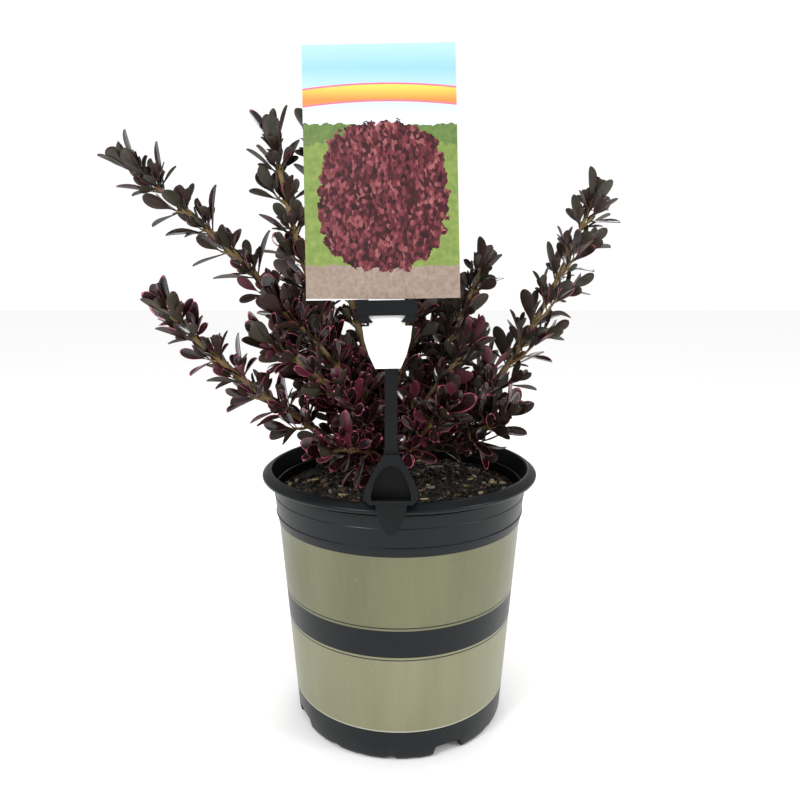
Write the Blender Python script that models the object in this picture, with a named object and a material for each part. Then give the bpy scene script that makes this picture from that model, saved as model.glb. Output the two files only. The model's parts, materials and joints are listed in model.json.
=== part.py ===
"""Potted mirror bush: a nursery pot of potting mix, a short trunk, boughs, leafy shoots and a label.

Metres, +Z up. The origin is the centre of the pot's flat underside and -Y is the front, where the
label clip hooks over the rim. Every bough is one tapering limb, and every mass of foliage is one
solid of stem, twigs and leaves that carries on from its bough.
"""
import math
import random
from collections import namedtuple

import bmesh
import bpy
from mathutils import Matrix, Vector
from mathutils.kdtree import KDTree

GAP = 0.0003

# Pot
POT_HEIGHT = 0.189
POT_STEPS = 60
LIP_RADIUS = 0.100
LIP_EDGE_HEIGHT = 0.1850
LIP_THICKNESS = 0.0022
MOUTH_RADIUS = 0.0931
FOOT_RADIUS = 0.0747
FOOT_ROUNDING = 0.0035
FOOT_THICKNESS = 0.0022
WALL_RADIUS_AT_FLOOR = 0.0776
WALL_FLARE = 0.0746
WALL_THICKNESS = 0.0014
STEP_LOW = 0.1485
STEP_HIGH = 0.1548
COLLAR_RADIUS = 0.0900
COLLAR_FLARE = 0.085
PAD_RADIUS = 0.058
FLOOR_LIFT = 0.009
FLOOR_THICKNESS = 0.002

# Foot cut-outs, told by their step from a wide one, which comes round four times
WIDE_NOTCH_ANGLE = -64.0
NOTCH_HEIGHTS = {-1: 0.0070, 0: 0.0078, 1: 0.0070, 5: 0.0025, 7: 0.0013, 10: 0.0032, 12: 0.0018}

# Potting mix
SOIL_STEPS = 40
SOIL_TOP = 0.1730
SOIL_SINK = 0.0035
SOIL_LUMP = 0.0022
SOIL_RINGS = (0.020, 0.045, 0.068)

# Trunk
TRUNK_FOOT = Vector((-0.004, 0.014, SOIL_TOP + GAP))
TRUNK_TOP = Vector((-0.006, 0.019, 0.2075))
TRUNK_RADIUS = 0.0078
TRUNK_TOP_RADIUS = 0.0062
TRUNK_FLARE = 0.0045
TRUNK_FLARE_HEIGHT = 0.006
TRUNK_SIDES = 9

# Boughs and the stems that carry on from them
BOUGH_SIDES = 5
BOUGH_RUNS = 4
STEM_SIDES = 4
STEM_RUN = 0.040
STEM_CORNER = 1.15
TIP_RADIUS = 0.0013
TWIG_SIDES = 3
TWIG_RADIUS = 0.0012
LONG_TWIG = 0.022

# Shoots: leaves stand in crossed pairs on nodes that crowd towards the tip
NODE_GAP = 0.0205
TIP_INSET = 0.0022
TIP_GAP = 0.0070
GAP_GROWTH = 1.7
LEAF_LENGTH = 0.0295
LEAF_WIDTH_RATIO = 0.44
LEAF_KEEL_RATIO = 0.055
LEAF_ANGLE = 50.0
TIP_LEAF_ANGLE = 20.0
LEAF_SINK = 0.0009
LEAF_LIFT = 0.22
TWIG_ANGLE = 42.0
TWIG_LIFT = 0.30
SPACE_MARGIN = 0.0012
LIMB_MARGIN = 0.0008
SHORTER_LEAVES = (1.0, 0.8, 0.62)

# Tidying of a fused mass
MERGE_DISTANCE = 0.00002
SMALLEST_FACE = 1e-12

# Label and its clip, in the clip's own plane, which leans back
CLIP_FOOT = Vector((-0.0050, -0.1020, POT_HEIGHT + 0.0017))
CLIP_LEAN = 10.2
CLIP_THICKNESS = 0.0022
STEM_HALF_WIDTH = 0.0038
SCOOP_FRONT = -0.0033
SCOOP_BACK = 0.0135
SCOOP_FLOOR = 0.0026
SCOOP_HEIGHT = 0.0300
SCOOP_REACH = 0.0200
PRONG_DROP = 0.0135
PRONG_SLANT = 0.0052
HEAD_LOW = 0.1128
HEAD_HIGH = 0.1218
HEAD_HALF_WIDTH = 0.0182
HEAD_FRONT = 0.0034
CARD_WIDTH = 0.092
CARD_HEIGHT = 0.1535
CARD_THICKNESS = 0.0006
HEAD_ROLL = 1.1
HEAD_SHIFT = -0.0024
CARD_SHIFT = -0.0020

# A limb springs from a parent (None is the trunk) at a share of the parent's length, and bends by its
# elbow to its tip. Places are millimetres. Leaves start at the share leafy of its length, reach is the
# length in millimetres of its longest side twigs, and phase turns its pairs of leaves.
Limb = namedtuple("Limb", "name parent share elbow tip thick leafy reach phase seed")
LIMBS = (
    Limb("upper_left", None, 0.52, (-74, 6, 314), (-174, -22, 394), 3.4, 0.27, 17, 0, 11),
    Limb("lower_left", None, 0.22, (-80, -18, 219), (-144, -60, 301), 3.2, 0.30, 18, 20, 12),
    Limb("inner_left", "upper_left", 0.09, (-42, -14, 268), (-77, -42, 303), 2.4, 0.30, 16, 30, 13),
    Limb("middle_left", None, 0.42, (-30, -18, 240), (-84, -46, 282), 2.4, 0.34, 14, 60, 14),
    Limb("front_left", None, 0.24, (-18, -20, 206), (-44, -54, 212), 2.2, 0.34, 12, 0, 15),
    Limb("near_left", "lower_left", 0.14, (-40, -8, 236), (-66, -22, 256), 2.2, 0.30, 12, 45, 16),
    Limb("upright_left", "upper_left", 0.10, (-70, 18, 302), (-86, 0, 416), 2.8, 0.24, 18, 10, 17),
    Limb("upright", None, 0.97, (-42, 26, 310), (-60, 30, 428), 3.2, 0.26, 17, 40, 18),
    Limb("centre", "upright", 0.08, (20, 18, 286), (8, 34, 418), 3.0, 0.22, 20, 15, 19),
    Limb("right", None, 0.25, (77, 27, 207), (151, 61, 384), 3.6, 0.50, 34, 5, 20),
    Limb("inner_right", None, 0.74, (30, 40, 250), (65, 60, 331), 2.8, 0.36, 16, 25, 21),
    Limb("middle_right", None, 0.58, (20, 6, 240), (54, 14, 276), 2.4, 0.34, 17, 50, 22),
    Limb("near_right", "right", 0.20, (38, 10, 206), (37, 4, 236), 2.2, 0.34, 13, 0, 23),
    Limb("low_right", "right", 0.30, (58, 4, 206), (76, -16, 228), 2.2, 0.36, 15, 35, 24),
    Limb("front_right", None, 0.38, (14, -14, 212), (30, -46, 236), 2.2, 0.36, 14, 70, 25),
    Limb("back_left", None, 0.70, (-44, 66, 250), (-90, 98, 326), 2.8, 0.30, 18, 12, 26),
    Limb("back_right", None, 0.46, (34, 66, 224), (48, 96, 304), 2.8, 0.32, 18, 48, 27),
    Limb("back_low_left", None, 0.30, (-40, 60, 200), (-58, 104, 246), 2.4, 0.32, 16, 30, 28),
    Limb("back_low_right", "back_right", 0.20, (58, 62, 206), (72, 92, 242), 2.2, 0.28, 15, 66, 29),
    Limb("back_middle", None, 0.60, (-6, 74, 236), (-12, 104, 292), 2.4, 0.34, 17, 22, 30),
    Limb("high_back_left", "upright", 0.17, (-24, 68, 300), (-34, 78, 390), 2.4, 0.24, 17, 54, 31),
    Limb("high_back_right", "centre", 0.14, (30, 62, 296), (24, 76, 372), 2.4, 0.24, 17, 18, 32),
)

UP = Vector((0.0, 0.0, 1.0))
FRONT = Vector((0.0, -1.0, 0.0))


def clear_scene():
    for item in list(bpy.data.objects):
        bpy.data.objects.remove(item, do_unlink=True)


def make_material(name, colour, roughness, metallic=0.0):
    material = bpy.data.materials.new(name)
    material.use_nodes = True
    shader = material.node_tree.nodes["Principled BSDF"]
    shader.inputs["Base Color"].default_value = (*colour, 1.0)
    shader.inputs["Roughness"].default_value = roughness
    shader.inputs["Metallic"].default_value = metallic
    return material


def add_object(name, shape, material, sharp_angle=None):
    """Turns a bmesh into a named object with its own material."""
    mesh = bpy.data.meshes.new(name)
    shape.to_mesh(mesh)
    shape.free()
    mesh.materials.append(material)
    if sharp_angle is not None:
        mesh.shade_smooth()
        mesh.set_sharp_from_angle(angle=math.radians(sharp_angle))
    item = bpy.data.objects.new(name, mesh)
    bpy.context.collection.objects.link(item)
    return item


def evaluated_mesh(item):
    graph = bpy.context.evaluated_depsgraph_get()
    return bpy.data.meshes.new_from_object(item.evaluated_get(graph))


def cut_away(item, cutter):
    """Cuts the cutter out of the item for good and removes the cutter."""
    cut = item.modifiers.new("cut", "BOOLEAN")
    cut.operation = "DIFFERENCE"
    cut.object = cutter
    item.data = evaluated_mesh(item)
    item.modifiers.clear()
    bpy.data.objects.remove(cutter, do_unlink=True)


def turned(outline, steps, height_at=None):
    """A shape turned round Z from (radius, height) points, the first and last of them on the axis."""
    shape = bmesh.new()
    rings = []
    for index, (radius, height) in enumerate(outline):
        if radius == 0.0:
            rings.append([shape.verts.new((0.0, 0.0, height))])
            continue
        ring = []
        for step in range(steps):
            angle = 2.0 * math.pi * step / steps
            level = height if height_at is None else height_at(index, step, radius, height)
            ring.append(shape.verts.new((radius * math.cos(angle), radius * math.sin(angle), level)))
        rings.append(ring)
    for low, high in zip(rings, rings[1:]):
        for step in range(steps):
            after = (step + 1) % steps
            corners = [low[step % len(low)], low[after % len(low)], high[after % len(high)],
                       high[step % len(high)]]
            face = list(dict.fromkeys(corners))
            shape.faces.new(face)
    bmesh.ops.recalc_face_normals(shape, faces=shape.faces)
    return shape


def prism(outline, front, back):
    """A plate standing in X and Z: an outline of (x, z) points carried from y front to y back."""
    shape = bmesh.new()
    near = [shape.verts.new((x, front, z)) for x, z in outline]
    far = [shape.verts.new((x, back, z)) for x, z in outline]
    shape.faces.new(near)
    shape.faces.new(far[::-1])
    count = len(outline)
    for index in range(count):
        after = (index + 1) % count
        shape.faces.new((near[index], far[index], far[after], near[after]))
    bmesh.ops.recalc_face_normals(shape, faces=shape.faces)
    return shape


def mirrored(half):
    """A closed outline from its right half, given from its lowest point to its highest."""
    return list(half) + [(-x, z) for x, z in reversed(half) if x > 0.0]


def cross_directions(points, tangents=None):
    """The unit tangent and two cross directions at each point, turning as little as the path lets them."""
    if tangents is None:
        last = len(points) - 1
        tangents = [(points[min(index + 1, last)] - points[max(index - 1, 0)]).normalized()
                    for index in range(last + 1)]
    reference = UP if abs(tangents[0].dot(UP)) < 0.95 else FRONT
    side = (reference - tangents[0] * reference.dot(tangents[0])).normalized()
    frames = []
    for tangent in tangents:
        side = (side - tangent * side.dot(tangent)).normalized()
        frames.append((tangent, side, tangent.cross(side)))
    return frames


def tube(points, radii, sides, tangents=None, turn=0.0):
    """A tapering rod with flat ends, its corners turned by an angle in degrees."""
    shape = bmesh.new()
    rings = []
    for point, radius, (_, side, other) in zip(points, radii, cross_directions(points, tangents)):
        ring = []
        for step in range(sides):
            angle = 2.0 * math.pi * step / sides + math.radians(turn)
            offset = side * math.cos(angle) + other * math.sin(angle)
            ring.append(shape.verts.new(point + offset * radius))
        rings.append(ring)
    for low, high in zip(rings, rings[1:]):
        for step in range(sides):
            after = (step + 1) % sides
            shape.faces.new((low[step], low[after], high[after], high[step]))
    shape.faces.new(rings[0][::-1])
    shape.faces.new(rings[-1])
    bmesh.ops.triangulate(shape, faces=shape.faces)
    bmesh.ops.recalc_face_normals(shape, faces=shape.faces)
    return shape


def bend(start, elbow, end, share):
    """The point at a share of the way along a limb that bends by its elbow."""
    rest = 1.0 - share
    return start * (rest * rest) + elbow * (2.0 * rest * share) + end * (share * share)


def root_of(limb):
    if limb.parent is None:
        return TRUNK_FOOT.lerp(TRUNK_TOP, limb.share)
    parent = BY_NAME[limb.parent]
    return limb_point(parent, limb.share)


def limb_point(limb, share):
    elbow = Vector(limb.elbow) * 0.001
    tip = Vector(limb.tip) * 0.001
    return bend(root_of(limb), elbow, tip, share)


def limb_tangent(limb, share):
    elbow = Vector(limb.elbow) * 0.001
    tip = Vector(limb.tip) * 0.001
    return ((elbow - root_of(limb)) * (1.0 - share) + (tip - elbow) * share).normalized()


def limb_radius(limb, share):
    """Limbs taper evenly from their root to the tip."""
    thick = limb.thick * 0.001
    return thick + (TIP_RADIUS - thick) * share


def limb_length(limb, start, end, runs=24):
    points = [limb_point(limb, start + (end - start) * run / runs) for run in range(runs + 1)]
    return sum((b - a).length for a, b in zip(points, points[1:]))


def trunk_radius(share):
    height = share * (TRUNK_TOP - TRUNK_FOOT).z
    flare = TRUNK_FLARE * math.exp(-height / TRUNK_FLARE_HEIGHT)
    return TRUNK_RADIUS + (TRUNK_TOP_RADIUS - TRUNK_RADIUS) * share + flare


BY_NAME = {limb.name: limb for limb in LIMBS}


def wall_radius(height):
    return WALL_RADIUS_AT_FLOOR + WALL_FLARE * height


def collar_radius(height):
    return COLLAR_RADIUS + COLLAR_FLARE * (height - STEP_HIGH)


def pot_outline():
    """The pot's section from the middle of its underside, up the outside, over the lip and back down."""
    lip_low = LIP_EDGE_HEIGHT - LIP_THICKNESS
    inner = WALL_THICKNESS
    floor_top = FLOOR_LIFT + FLOOR_THICKNESS
    shelf_radius = FOOT_RADIUS - FOOT_THICKNESS
    return [
        (0.0, 0.0),
        (PAD_RADIUS, 0.0),
        (PAD_RADIUS + 0.004, FLOOR_LIFT),
        (shelf_radius - 0.001, FLOOR_LIFT),
        (shelf_radius, 0.0),
        (FOOT_RADIUS, 0.0),
        (wall_radius(FOOT_ROUNDING), FOOT_ROUNDING),
        (wall_radius(STEP_LOW), STEP_LOW),
        (collar_radius(STEP_HIGH), STEP_HIGH),
        (collar_radius(lip_low - 0.0005), lip_low - 0.0005),
        (LIP_RADIUS - 0.0010, lip_low),
        (LIP_RADIUS, LIP_EDGE_HEIGHT),
        (LIP_RADIUS - 0.0006, LIP_EDGE_HEIGHT + 0.0014),
        (MOUTH_RADIUS + 0.0014, POT_HEIGHT),
        (MOUTH_RADIUS, POT_HEIGHT - 0.0009),
        (collar_radius(lip_low) - inner, lip_low - 0.0030),
        (collar_radius(STEP_HIGH) - inner, STEP_HIGH + 0.0010),
        (wall_radius(STEP_LOW) - inner, STEP_LOW + 0.0010),
        (wall_radius(floor_top) - inner, floor_top),
        (PAD_RADIUS + 0.003, floor_top),
        (PAD_RADIUS - 0.001, FLOOR_THICKNESS),
        (0.0, FLOOR_THICKNESS),
    ]


def foot_height(index, step, radius, height):
    """Lifts the foot's edge at the cut-outs."""
    if index not in (4, 5, 6):
        return height
    quarter = POT_STEPS // 4
    first = round(WIDE_NOTCH_ANGLE / (360.0 / POT_STEPS))
    place = (step - first) % quarter
    if place == quarter - 1:
        place = -1
    notch = NOTCH_HEIGHTS.get(place, 0.0)
    return max(height, notch) if index < 6 else height + notch


def make_pot():
    plastic = make_material("pot_plastic", (0.012, 0.015, 0.018), 0.42)
    return add_object("pot", turned(pot_outline(), POT_STEPS, foot_height), plastic, 30)


def soil_level(radius, wobble):
    """The mix is level by the trunk, sinks a little towards the wall and is lumpy in between."""
    slope = SOIL_SINK * (radius / MOUTH_RADIUS) ** 2
    return SOIL_TOP - slope - SOIL_LUMP * wobble


def make_soil():
    chance = random.Random(5)
    inner = WALL_THICKNESS + GAP
    floor_top = FLOOR_LIFT + FLOOR_THICKNESS + GAP
    brim = SOIL_TOP - SOIL_SINK
    outline = [
        (0.0, FLOOR_THICKNESS + GAP),
        (PAD_RADIUS - 0.001 - GAP, FLOOR_THICKNESS + GAP),
        (PAD_RADIUS + 0.003 - GAP, floor_top),
        (wall_radius(floor_top) - inner, floor_top),
        (wall_radius(STEP_LOW) - inner, STEP_LOW),
        (collar_radius(STEP_HIGH) - inner, STEP_HIGH + 0.0016),
        (collar_radius(brim) - inner, brim),
        *((radius, 0.0) for radius in reversed(SOIL_RINGS)),
        (0.0, SOIL_TOP),
    ]
    top_start = len(outline) - len(SOIL_RINGS) - 1

    def level(index, step, radius, height):
        if index < top_start:
            return height
        calm = 0.0 if radius < SOIL_RINGS[1] else 1.0
        return soil_level(radius, calm * chance.random())

    # Fewer steps than the pot's wall, so the radius is drawn in to keep the flat sides clear of it
    shrink = math.cos(math.pi / POT_STEPS)
    outline = [(radius * shrink, height) for radius, height in outline]
    mix = make_material("potting_mix", (0.028, 0.021, 0.016), 0.95)
    return add_object("soil", turned(outline, SOIL_STEPS, level), mix, 60)


def trunk_shape(extra=0.0):
    """The short trunk with its root flare, or a copy grown by extra to cut the boughs clear of it."""
    shares = (0.0, 0.12, 0.30, 0.60, 1.0)
    points = [TRUNK_FOOT.lerp(TRUNK_TOP, share) for share in shares]
    radii = [trunk_radius(share) + extra for share in shares]
    points[0] = points[0] - UP * extra
    points[-1] = points[-1] + UP * extra
    shape = bmesh.new()
    rings = []
    for point, radius in zip(points, radii):
        ring = []
        for step in range(TRUNK_SIDES):
            angle = 2.0 * math.pi * step / TRUNK_SIDES
            offset = Vector((math.cos(angle), math.sin(angle), 0.0))
            ring.append(shape.verts.new(point + offset * radius))
        rings.append(ring)
    for low, high in zip(rings, rings[1:]):
        for step in range(TRUNK_SIDES):
            after = (step + 1) % TRUNK_SIDES
            shape.faces.new((low[step], low[after], high[after], high[step]))
    shape.faces.new(rings[0][::-1])
    shape.faces.new(rings[-1])
    bmesh.ops.recalc_face_normals(shape, faces=shape.faces)
    return shape


def make_trunk():
    bark = make_material("trunk_bark", (0.085, 0.060, 0.040), 0.85)
    return add_object("trunk", trunk_shape(), bark, 50)


def bough_shape(limb, extra=0.0, end_extra=0.0):
    shares = [limb.leafy * run / BOUGH_RUNS for run in range(BOUGH_RUNS + 1)]
    points = [limb_point(limb, share) for share in shares]
    radii = [limb_radius(limb, share) + extra for share in shares]
    tangents = [limb_tangent(limb, share) for share in shares]
    points[-1] = points[-1] + tangents[-1] * end_extra
    return tube(points, radii, BOUGH_SIDES, tangents)


def make_bough(limb, bark):
    """One tapering limb, cut clear of the trunk or bough that it springs from."""
    bough = add_object("bough_" + limb.name, bough_shape(limb), bark, 50)
    if limb.parent is None:
        grown = trunk_shape(GAP * 1.2)
    else:
        grown = bough_shape(BY_NAME[limb.parent], GAP * 1.3, GAP)
    cut_away(bough, add_object("clearance", grown, bark))
    shape = bmesh.new()
    shape.from_mesh(bough.data)
    largest_shell(shape)
    shape.to_mesh(bough.data)
    shape.free()
    return bough


class Spaces:
    """Tells whose space a point lies in: that of the nearest limb, clear of every other solid."""

    SAMPLE = 0.002

    def __init__(self):
        self.trees = {limb.name: self.tree_of(limb) for limb in LIMBS}
        self.boughs = []
        for limb in LIMBS:
            runs = 10
            for run in range(runs + 1):
                share = limb.leafy * run / runs
                self.boughs.append((limb_point(limb, share), limb_radius(limb, share)))
        self.bough_tree = KDTree(len(self.boughs))
        for index, (point, _) in enumerate(self.boughs):
            self.bough_tree.insert(point, index)
        self.bough_tree.balance()

    def tree_of(self, limb):
        count = max(2, int(limb_length(limb, 0.0, 1.0) / self.SAMPLE))
        tree = KDTree(count + 1)
        for index in range(count + 1):
            tree.insert(limb_point(limb, index / count), index)
        tree.balance()
        return tree

    def owned(self, point, name):
        own = self.trees[name].find(point)[2]
        for other, tree in self.trees.items():
            if other != name and tree.find(point)[2] < own + SPACE_MARGIN:
                return False
        return True

    def clear_of_limbs(self, point):
        height = point.z - TRUNK_FOOT.z
        share = min(max(height / (TRUNK_TOP - TRUNK_FOOT).z, 0.0), 1.0)
        axis = TRUNK_FOOT.lerp(TRUNK_TOP, share)
        if (point - axis).length < trunk_radius(share) + LIMB_MARGIN:
            return False
        for _, index, distance in self.bough_tree.find_n(point, 3):
            if distance < self.boughs[index][1] + LIMB_MARGIN:
                return False
        return True

    def clear_of_pot(self, point):
        radius = math.hypot(point.x, point.y)
        if radius < MOUTH_RADIUS - 0.004:
            return point.z > SOIL_TOP + 0.002
        if radius < LIP_RADIUS + 0.002:
            return point.z > POT_HEIGHT + 0.002
        return point.z > STEP_HIGH

    def clear_of_label(self, point):
        place = CLIP_PLANE.inverted() @ point
        if place.z < -0.025 or place.z > HEAD_HIGH + CARD_HEIGHT + 0.004:
            return True
        half = CARD_WIDTH / 2 + 0.009 if place.z > HEAD_LOW - 0.004 else SCOOP_REACH
        depth = SCOOP_BACK if place.z < SCOOP_HEIGHT else CLIP_THICKNESS
        return abs(place.x) > half or place.y > depth + 0.004

    def free(self, point, name):
        return (self.owned(point, name) and self.clear_of_limbs(point)
                and self.clear_of_pot(point) and self.clear_of_label(point))


CLIP_PLANE = Matrix.Translation(CLIP_FOOT) @ Matrix.Rotation(math.radians(-CLIP_LEAN), 4, "X")
HEAD_MIDDLE = Vector((0.0, 0.0, HEAD_LOW))
HEAD_TURN = (Matrix.Translation(HEAD_MIDDLE + Vector((HEAD_SHIFT, 0.0, 0.0)))
             @ Matrix.Rotation(math.radians(-HEAD_ROLL), 4, "Y") @ Matrix.Translation(-HEAD_MIDDLE))

Leaf = namedtuple("Leaf", "base direction normal length")
Twig = namedtuple("Twig", "points radii tangents")


def node_distances(length):
    """Distances of the nodes from the tip, crowded there and evenly spaced further down."""
    distance = TIP_INSET
    gap = TIP_GAP
    while distance < length:
        yield distance
        distance += gap
        gap = min(NODE_GAP, gap * GAP_GROWTH)


def leaf_at(base, frame, azimuth, angle, length, offset=0.0):
    """A leaf that stands off its stem by an angle, turned up a little, its upper face to the tip."""
    tangent, side, other = frame
    outward = side * math.cos(azimuth) + other * math.sin(azimuth)
    base = base + outward * max(offset, 0.0)
    direction = tangent * math.cos(angle) + outward * math.sin(angle) + UP * LEAF_LIFT
    direction.normalize()
    normal = tangent - direction * tangent.dot(direction)
    if normal.length < 0.05:
        normal = outward - direction * outward.dot(direction)
    return Leaf(base, direction, normal.normalized(), length)


def leaf_points(leaf, thickness=1.0):
    """The five corners of a blunt blade and the point of its keel."""
    across = leaf.direction.cross(leaf.normal).normalized()
    half = leaf.length * LEAF_WIDTH_RATIO / 2
    wide = leaf.base + leaf.direction * (leaf.length * 0.58)
    blunt = leaf.base + leaf.direction * leaf.length
    keel = leaf.base + leaf.direction * (leaf.length * 0.5)
    keel = keel - leaf.normal * (leaf.length * LEAF_KEEL_RATIO * thickness)
    return [leaf.base, wide + across * half, blunt + across * half * 0.45,
            blunt - across * half * 0.45, wide - across * half, keel]


def leaf_shape(leaf):
    shape = bmesh.new()
    corners = [shape.verts.new(point) for point in leaf_points(leaf)]
    blade = corners[:5]
    shape.faces.new((blade[0], blade[1], blade[4]))
    shape.faces.new((blade[1], blade[2], blade[3]))
    shape.faces.new((blade[1], blade[3], blade[4]))
    for index in range(5):
        shape.faces.new((blade[index], corners[5], blade[(index + 1) % 5]))
    bmesh.ops.recalc_face_normals(shape, faces=shape.faces)
    return shape


def fitted_leaf(leaf, name, spaces):
    """The longest of a few lengths at which the leaf keeps to its mass's space, or None."""
    for factor in SHORTER_LEAVES:
        trial = leaf._replace(length=leaf.length * factor)
        start = trial.base + trial.direction * (trial.length * 0.25)
        tests = [start, *leaf_points(trial, 1.6)[1:]]
        if all(spaces.free(point, name) for point in tests):
            return trial
    return None


def grow_mass(limb, spaces):
    """The stem, twigs and leaves that carry on from one bough, by a seeded rule."""
    chance = random.Random(limb.seed)
    length = limb_length(limb, limb.leafy, 1.0)
    start = limb.leafy + (1.0 - limb.leafy) * 1.5 * GAP / length
    runs = max(3, round(length / STEM_RUN))
    shares = [start + (1.0 - start) * run / runs for run in range(runs + 1)]
    stem = [limb_point(limb, share) for share in shares]
    radii = [limb_radius(limb, share) * STEM_CORNER for share in shares]
    twigs = [Twig(stem, radii, [limb_tangent(limb, share) for share in shares])]
    leaves = []
    steps = 80
    fine = [start + (1.0 - start) * step / steps for step in range(steps + 1)]
    frames = cross_directions([], [limb_tangent(limb, share) for share in fine])
    for number, distance in enumerate(node_distances(length - 0.008)):
        place = round((1.0 - distance / length) * steps)
        base, frame = limb_point(limb, fine[place]), frames[place]
        young = math.exp(-distance / 0.018)
        angle = math.radians(LEAF_ANGLE + (TIP_LEAF_ANGLE - LEAF_ANGLE) * young)
        for flip in (0, 1):
            azimuth = math.radians(limb.phase + 90 * number + 180 * flip + chance.uniform(-14, 14))
            size = LEAF_LENGTH * chance.uniform(0.86, 1.06) * (1.0 - 0.12 * young)
            wobble = chance.uniform(-0.12, 0.12)
            flat = limb_radius(limb, fine[place]) * STEM_CORNER * math.cos(math.pi / STEM_SIDES)
            leaves.append(leaf_at(base, frame, azimuth, angle + wobble, size, flat - LEAF_SINK))
        if number < 2:
            continue
        azimuth = math.radians(limb.phase + 90 * number + 90 + 180 * (number // 2 % 2)
                               + chance.uniform(-9, 9))
        reach = limb.reach * 0.001 * (0.45 + 0.55 * distance / length) * chance.uniform(0.8, 1.1)
        grow_twig(base, frame, azimuth, reach, chance, limb, spaces, twigs, leaves)
    kept = [fitted_leaf(leaf, limb.name, spaces) for leaf in leaves]
    return twigs, [leaf for leaf in kept if leaf is not None]


def grow_twig(base, frame, azimuth, reach, chance, limb, spaces, twigs, leaves):
    """A side twig that turns up, with crossed pairs of smaller leaves."""
    tangent, side, other = frame
    outward = side * math.cos(azimuth) + other * math.sin(azimuth)
    spread = math.radians(TWIG_ANGLE)
    first = (tangent * math.cos(spread) + outward * math.sin(spread)).normalized()
    second = (first + UP * TWIG_LIFT).normalized()
    middle = base + first * (reach * 0.5)
    tip = middle + second * (reach * 0.5)
    if not all(spaces.free(point, limb.name) for point in (middle, tip)):
        return
    frames = cross_directions([base, middle, tip])
    spots = [(tip - second * 0.0014, frames[2], 24.0, 0.80)]
    if reach > LONG_TWIG:
        twigs.append(Twig([base, middle, tip], [TWIG_RADIUS * 1.2, TWIG_RADIUS, TWIG_RADIUS * 0.85], None))
        spots.append((middle, frames[1], 44.0, 0.84))
    else:
        twigs.append(Twig([base, tip], [TWIG_RADIUS, TWIG_RADIUS * 0.85], None))
    for number, (spot, spot_frame, degrees, size) in enumerate(spots):
        for flip in (0, 1):
            turn = azimuth + math.radians(90 + 90 * number + 180 * flip + chance.uniform(-9, 9))
            length = LEAF_LENGTH * size * chance.uniform(0.85, 1.05)
            leaves.append(leaf_at(spot, spot_frame, turn, math.radians(degrees), length))


def largest_shell(shape):
    """Drops every loose scrap and sealed hollow, and keeps the one body of the most faces."""
    unseen = set(shape.faces)
    shells = []
    while unseen:
        front = [unseen.pop()]
        shell = []
        while front:
            face = front.pop()
            shell.append(face)
            for edge in face.edges:
                for neighbour in edge.link_faces:
                    if neighbour in unseen:
                        unseen.remove(neighbour)
                        front.append(neighbour)
        shells.append(shell)
    shells.sort(key=len, reverse=True)
    for shell in shells[1:]:
        bmesh.ops.delete(shape, geom=shell, context="FACES")
    loose = [vertex for vertex in shape.verts if not vertex.link_faces]
    bmesh.ops.delete(shape, geom=loose, context="VERTS")
    return shape


def is_closed(shape):
    """True where every edge has two faces and no face is a sliver."""
    if any(len(edge.link_faces) != 2 for edge in shape.edges):
        return False
    return all(face.calc_area() > SMALLEST_FACE for face in shape.faces)


def fused_mass(name, stem, turn, pieces, material, solver):
    """One attempt at a mass: the stem with its pieces fused on, as triangles, without loose scraps."""
    mass = add_object(name, tube(stem.points, stem.radii, STEM_SIDES, stem.tangents, turn), material)
    fuse_all(mass, [piece.copy() for piece in pieces], material, solver)
    shape = bmesh.new()
    shape.from_mesh(mass.data)
    bmesh.ops.triangulate(shape, faces=shape.faces)
    bmesh.ops.dissolve_degenerate(shape, edges=shape.edges, dist=MERGE_DISTANCE)
    bmesh.ops.triangulate(shape, faces=shape.faces)
    largest_shell(shape)
    good = is_closed(shape)
    shape.to_mesh(mass.data)
    shape.free()
    return mass, good


def make_mass(limb, spaces, leafage):
    """Fuses the stem, twigs and leaves of one mass into one closed body."""
    twigs, leaves = grow_mass(limb, spaces)
    stem = twigs[0]
    turn = limb.phase + 180.0 / STEM_SIDES
    pieces = [tube(twig.points, twig.radii, TWIG_SIDES) for twig in twigs[1:]]
    pieces += [leaf_shape(leaf) for leaf in leaves]
    name = "foliage_" + limb.name
    mass, good = fused_mass(name, stem, turn, pieces, leafage, "EXACT")
    if not good:
        bpy.data.objects.remove(mass, do_unlink=True)
        mass, good = fused_mass(name, stem, turn, pieces, leafage, "MANIFOLD")
    for piece in pieces:
        piece.free()
    return mass


def side_prism(profile, left, right):
    """A bar across X with a side profile of (y, z) points."""
    shape = bmesh.new()
    near = [shape.verts.new((left, y, z)) for y, z in profile]
    far = [shape.verts.new((right, y, z)) for y, z in profile]
    shape.faces.new(near)
    shape.faces.new(far[::-1])
    count = len(profile)
    for index in range(count):
        after = (index + 1) % count
        shape.faces.new((near[index], far[index], far[after], near[after]))
    bmesh.ops.recalc_face_normals(shape, faces=shape.faces)
    return shape


def fuse_all(body, adds, material, solver="EXACT"):
    """Fuses a list of shapes into the body by one union on their collection."""
    group = bpy.data.collections.new("pieces_of_" + body.name)
    bpy.context.scene.collection.children.link(group)
    for index, shape in enumerate(adds):
        group.objects.link(add_object("piece_%d" % index, shape, material))
    fuse = body.modifiers.new("fuse", "BOOLEAN")
    fuse.operation = "UNION"
    fuse.operand_type = "COLLECTION"
    fuse.collection = group
    fuse.solver = solver
    body.data = evaluated_mesh(body)
    body.modifiers.clear()
    for piece in list(group.objects):
        bpy.data.objects.remove(piece, do_unlink=True)
    bpy.data.collections.remove(group)


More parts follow.
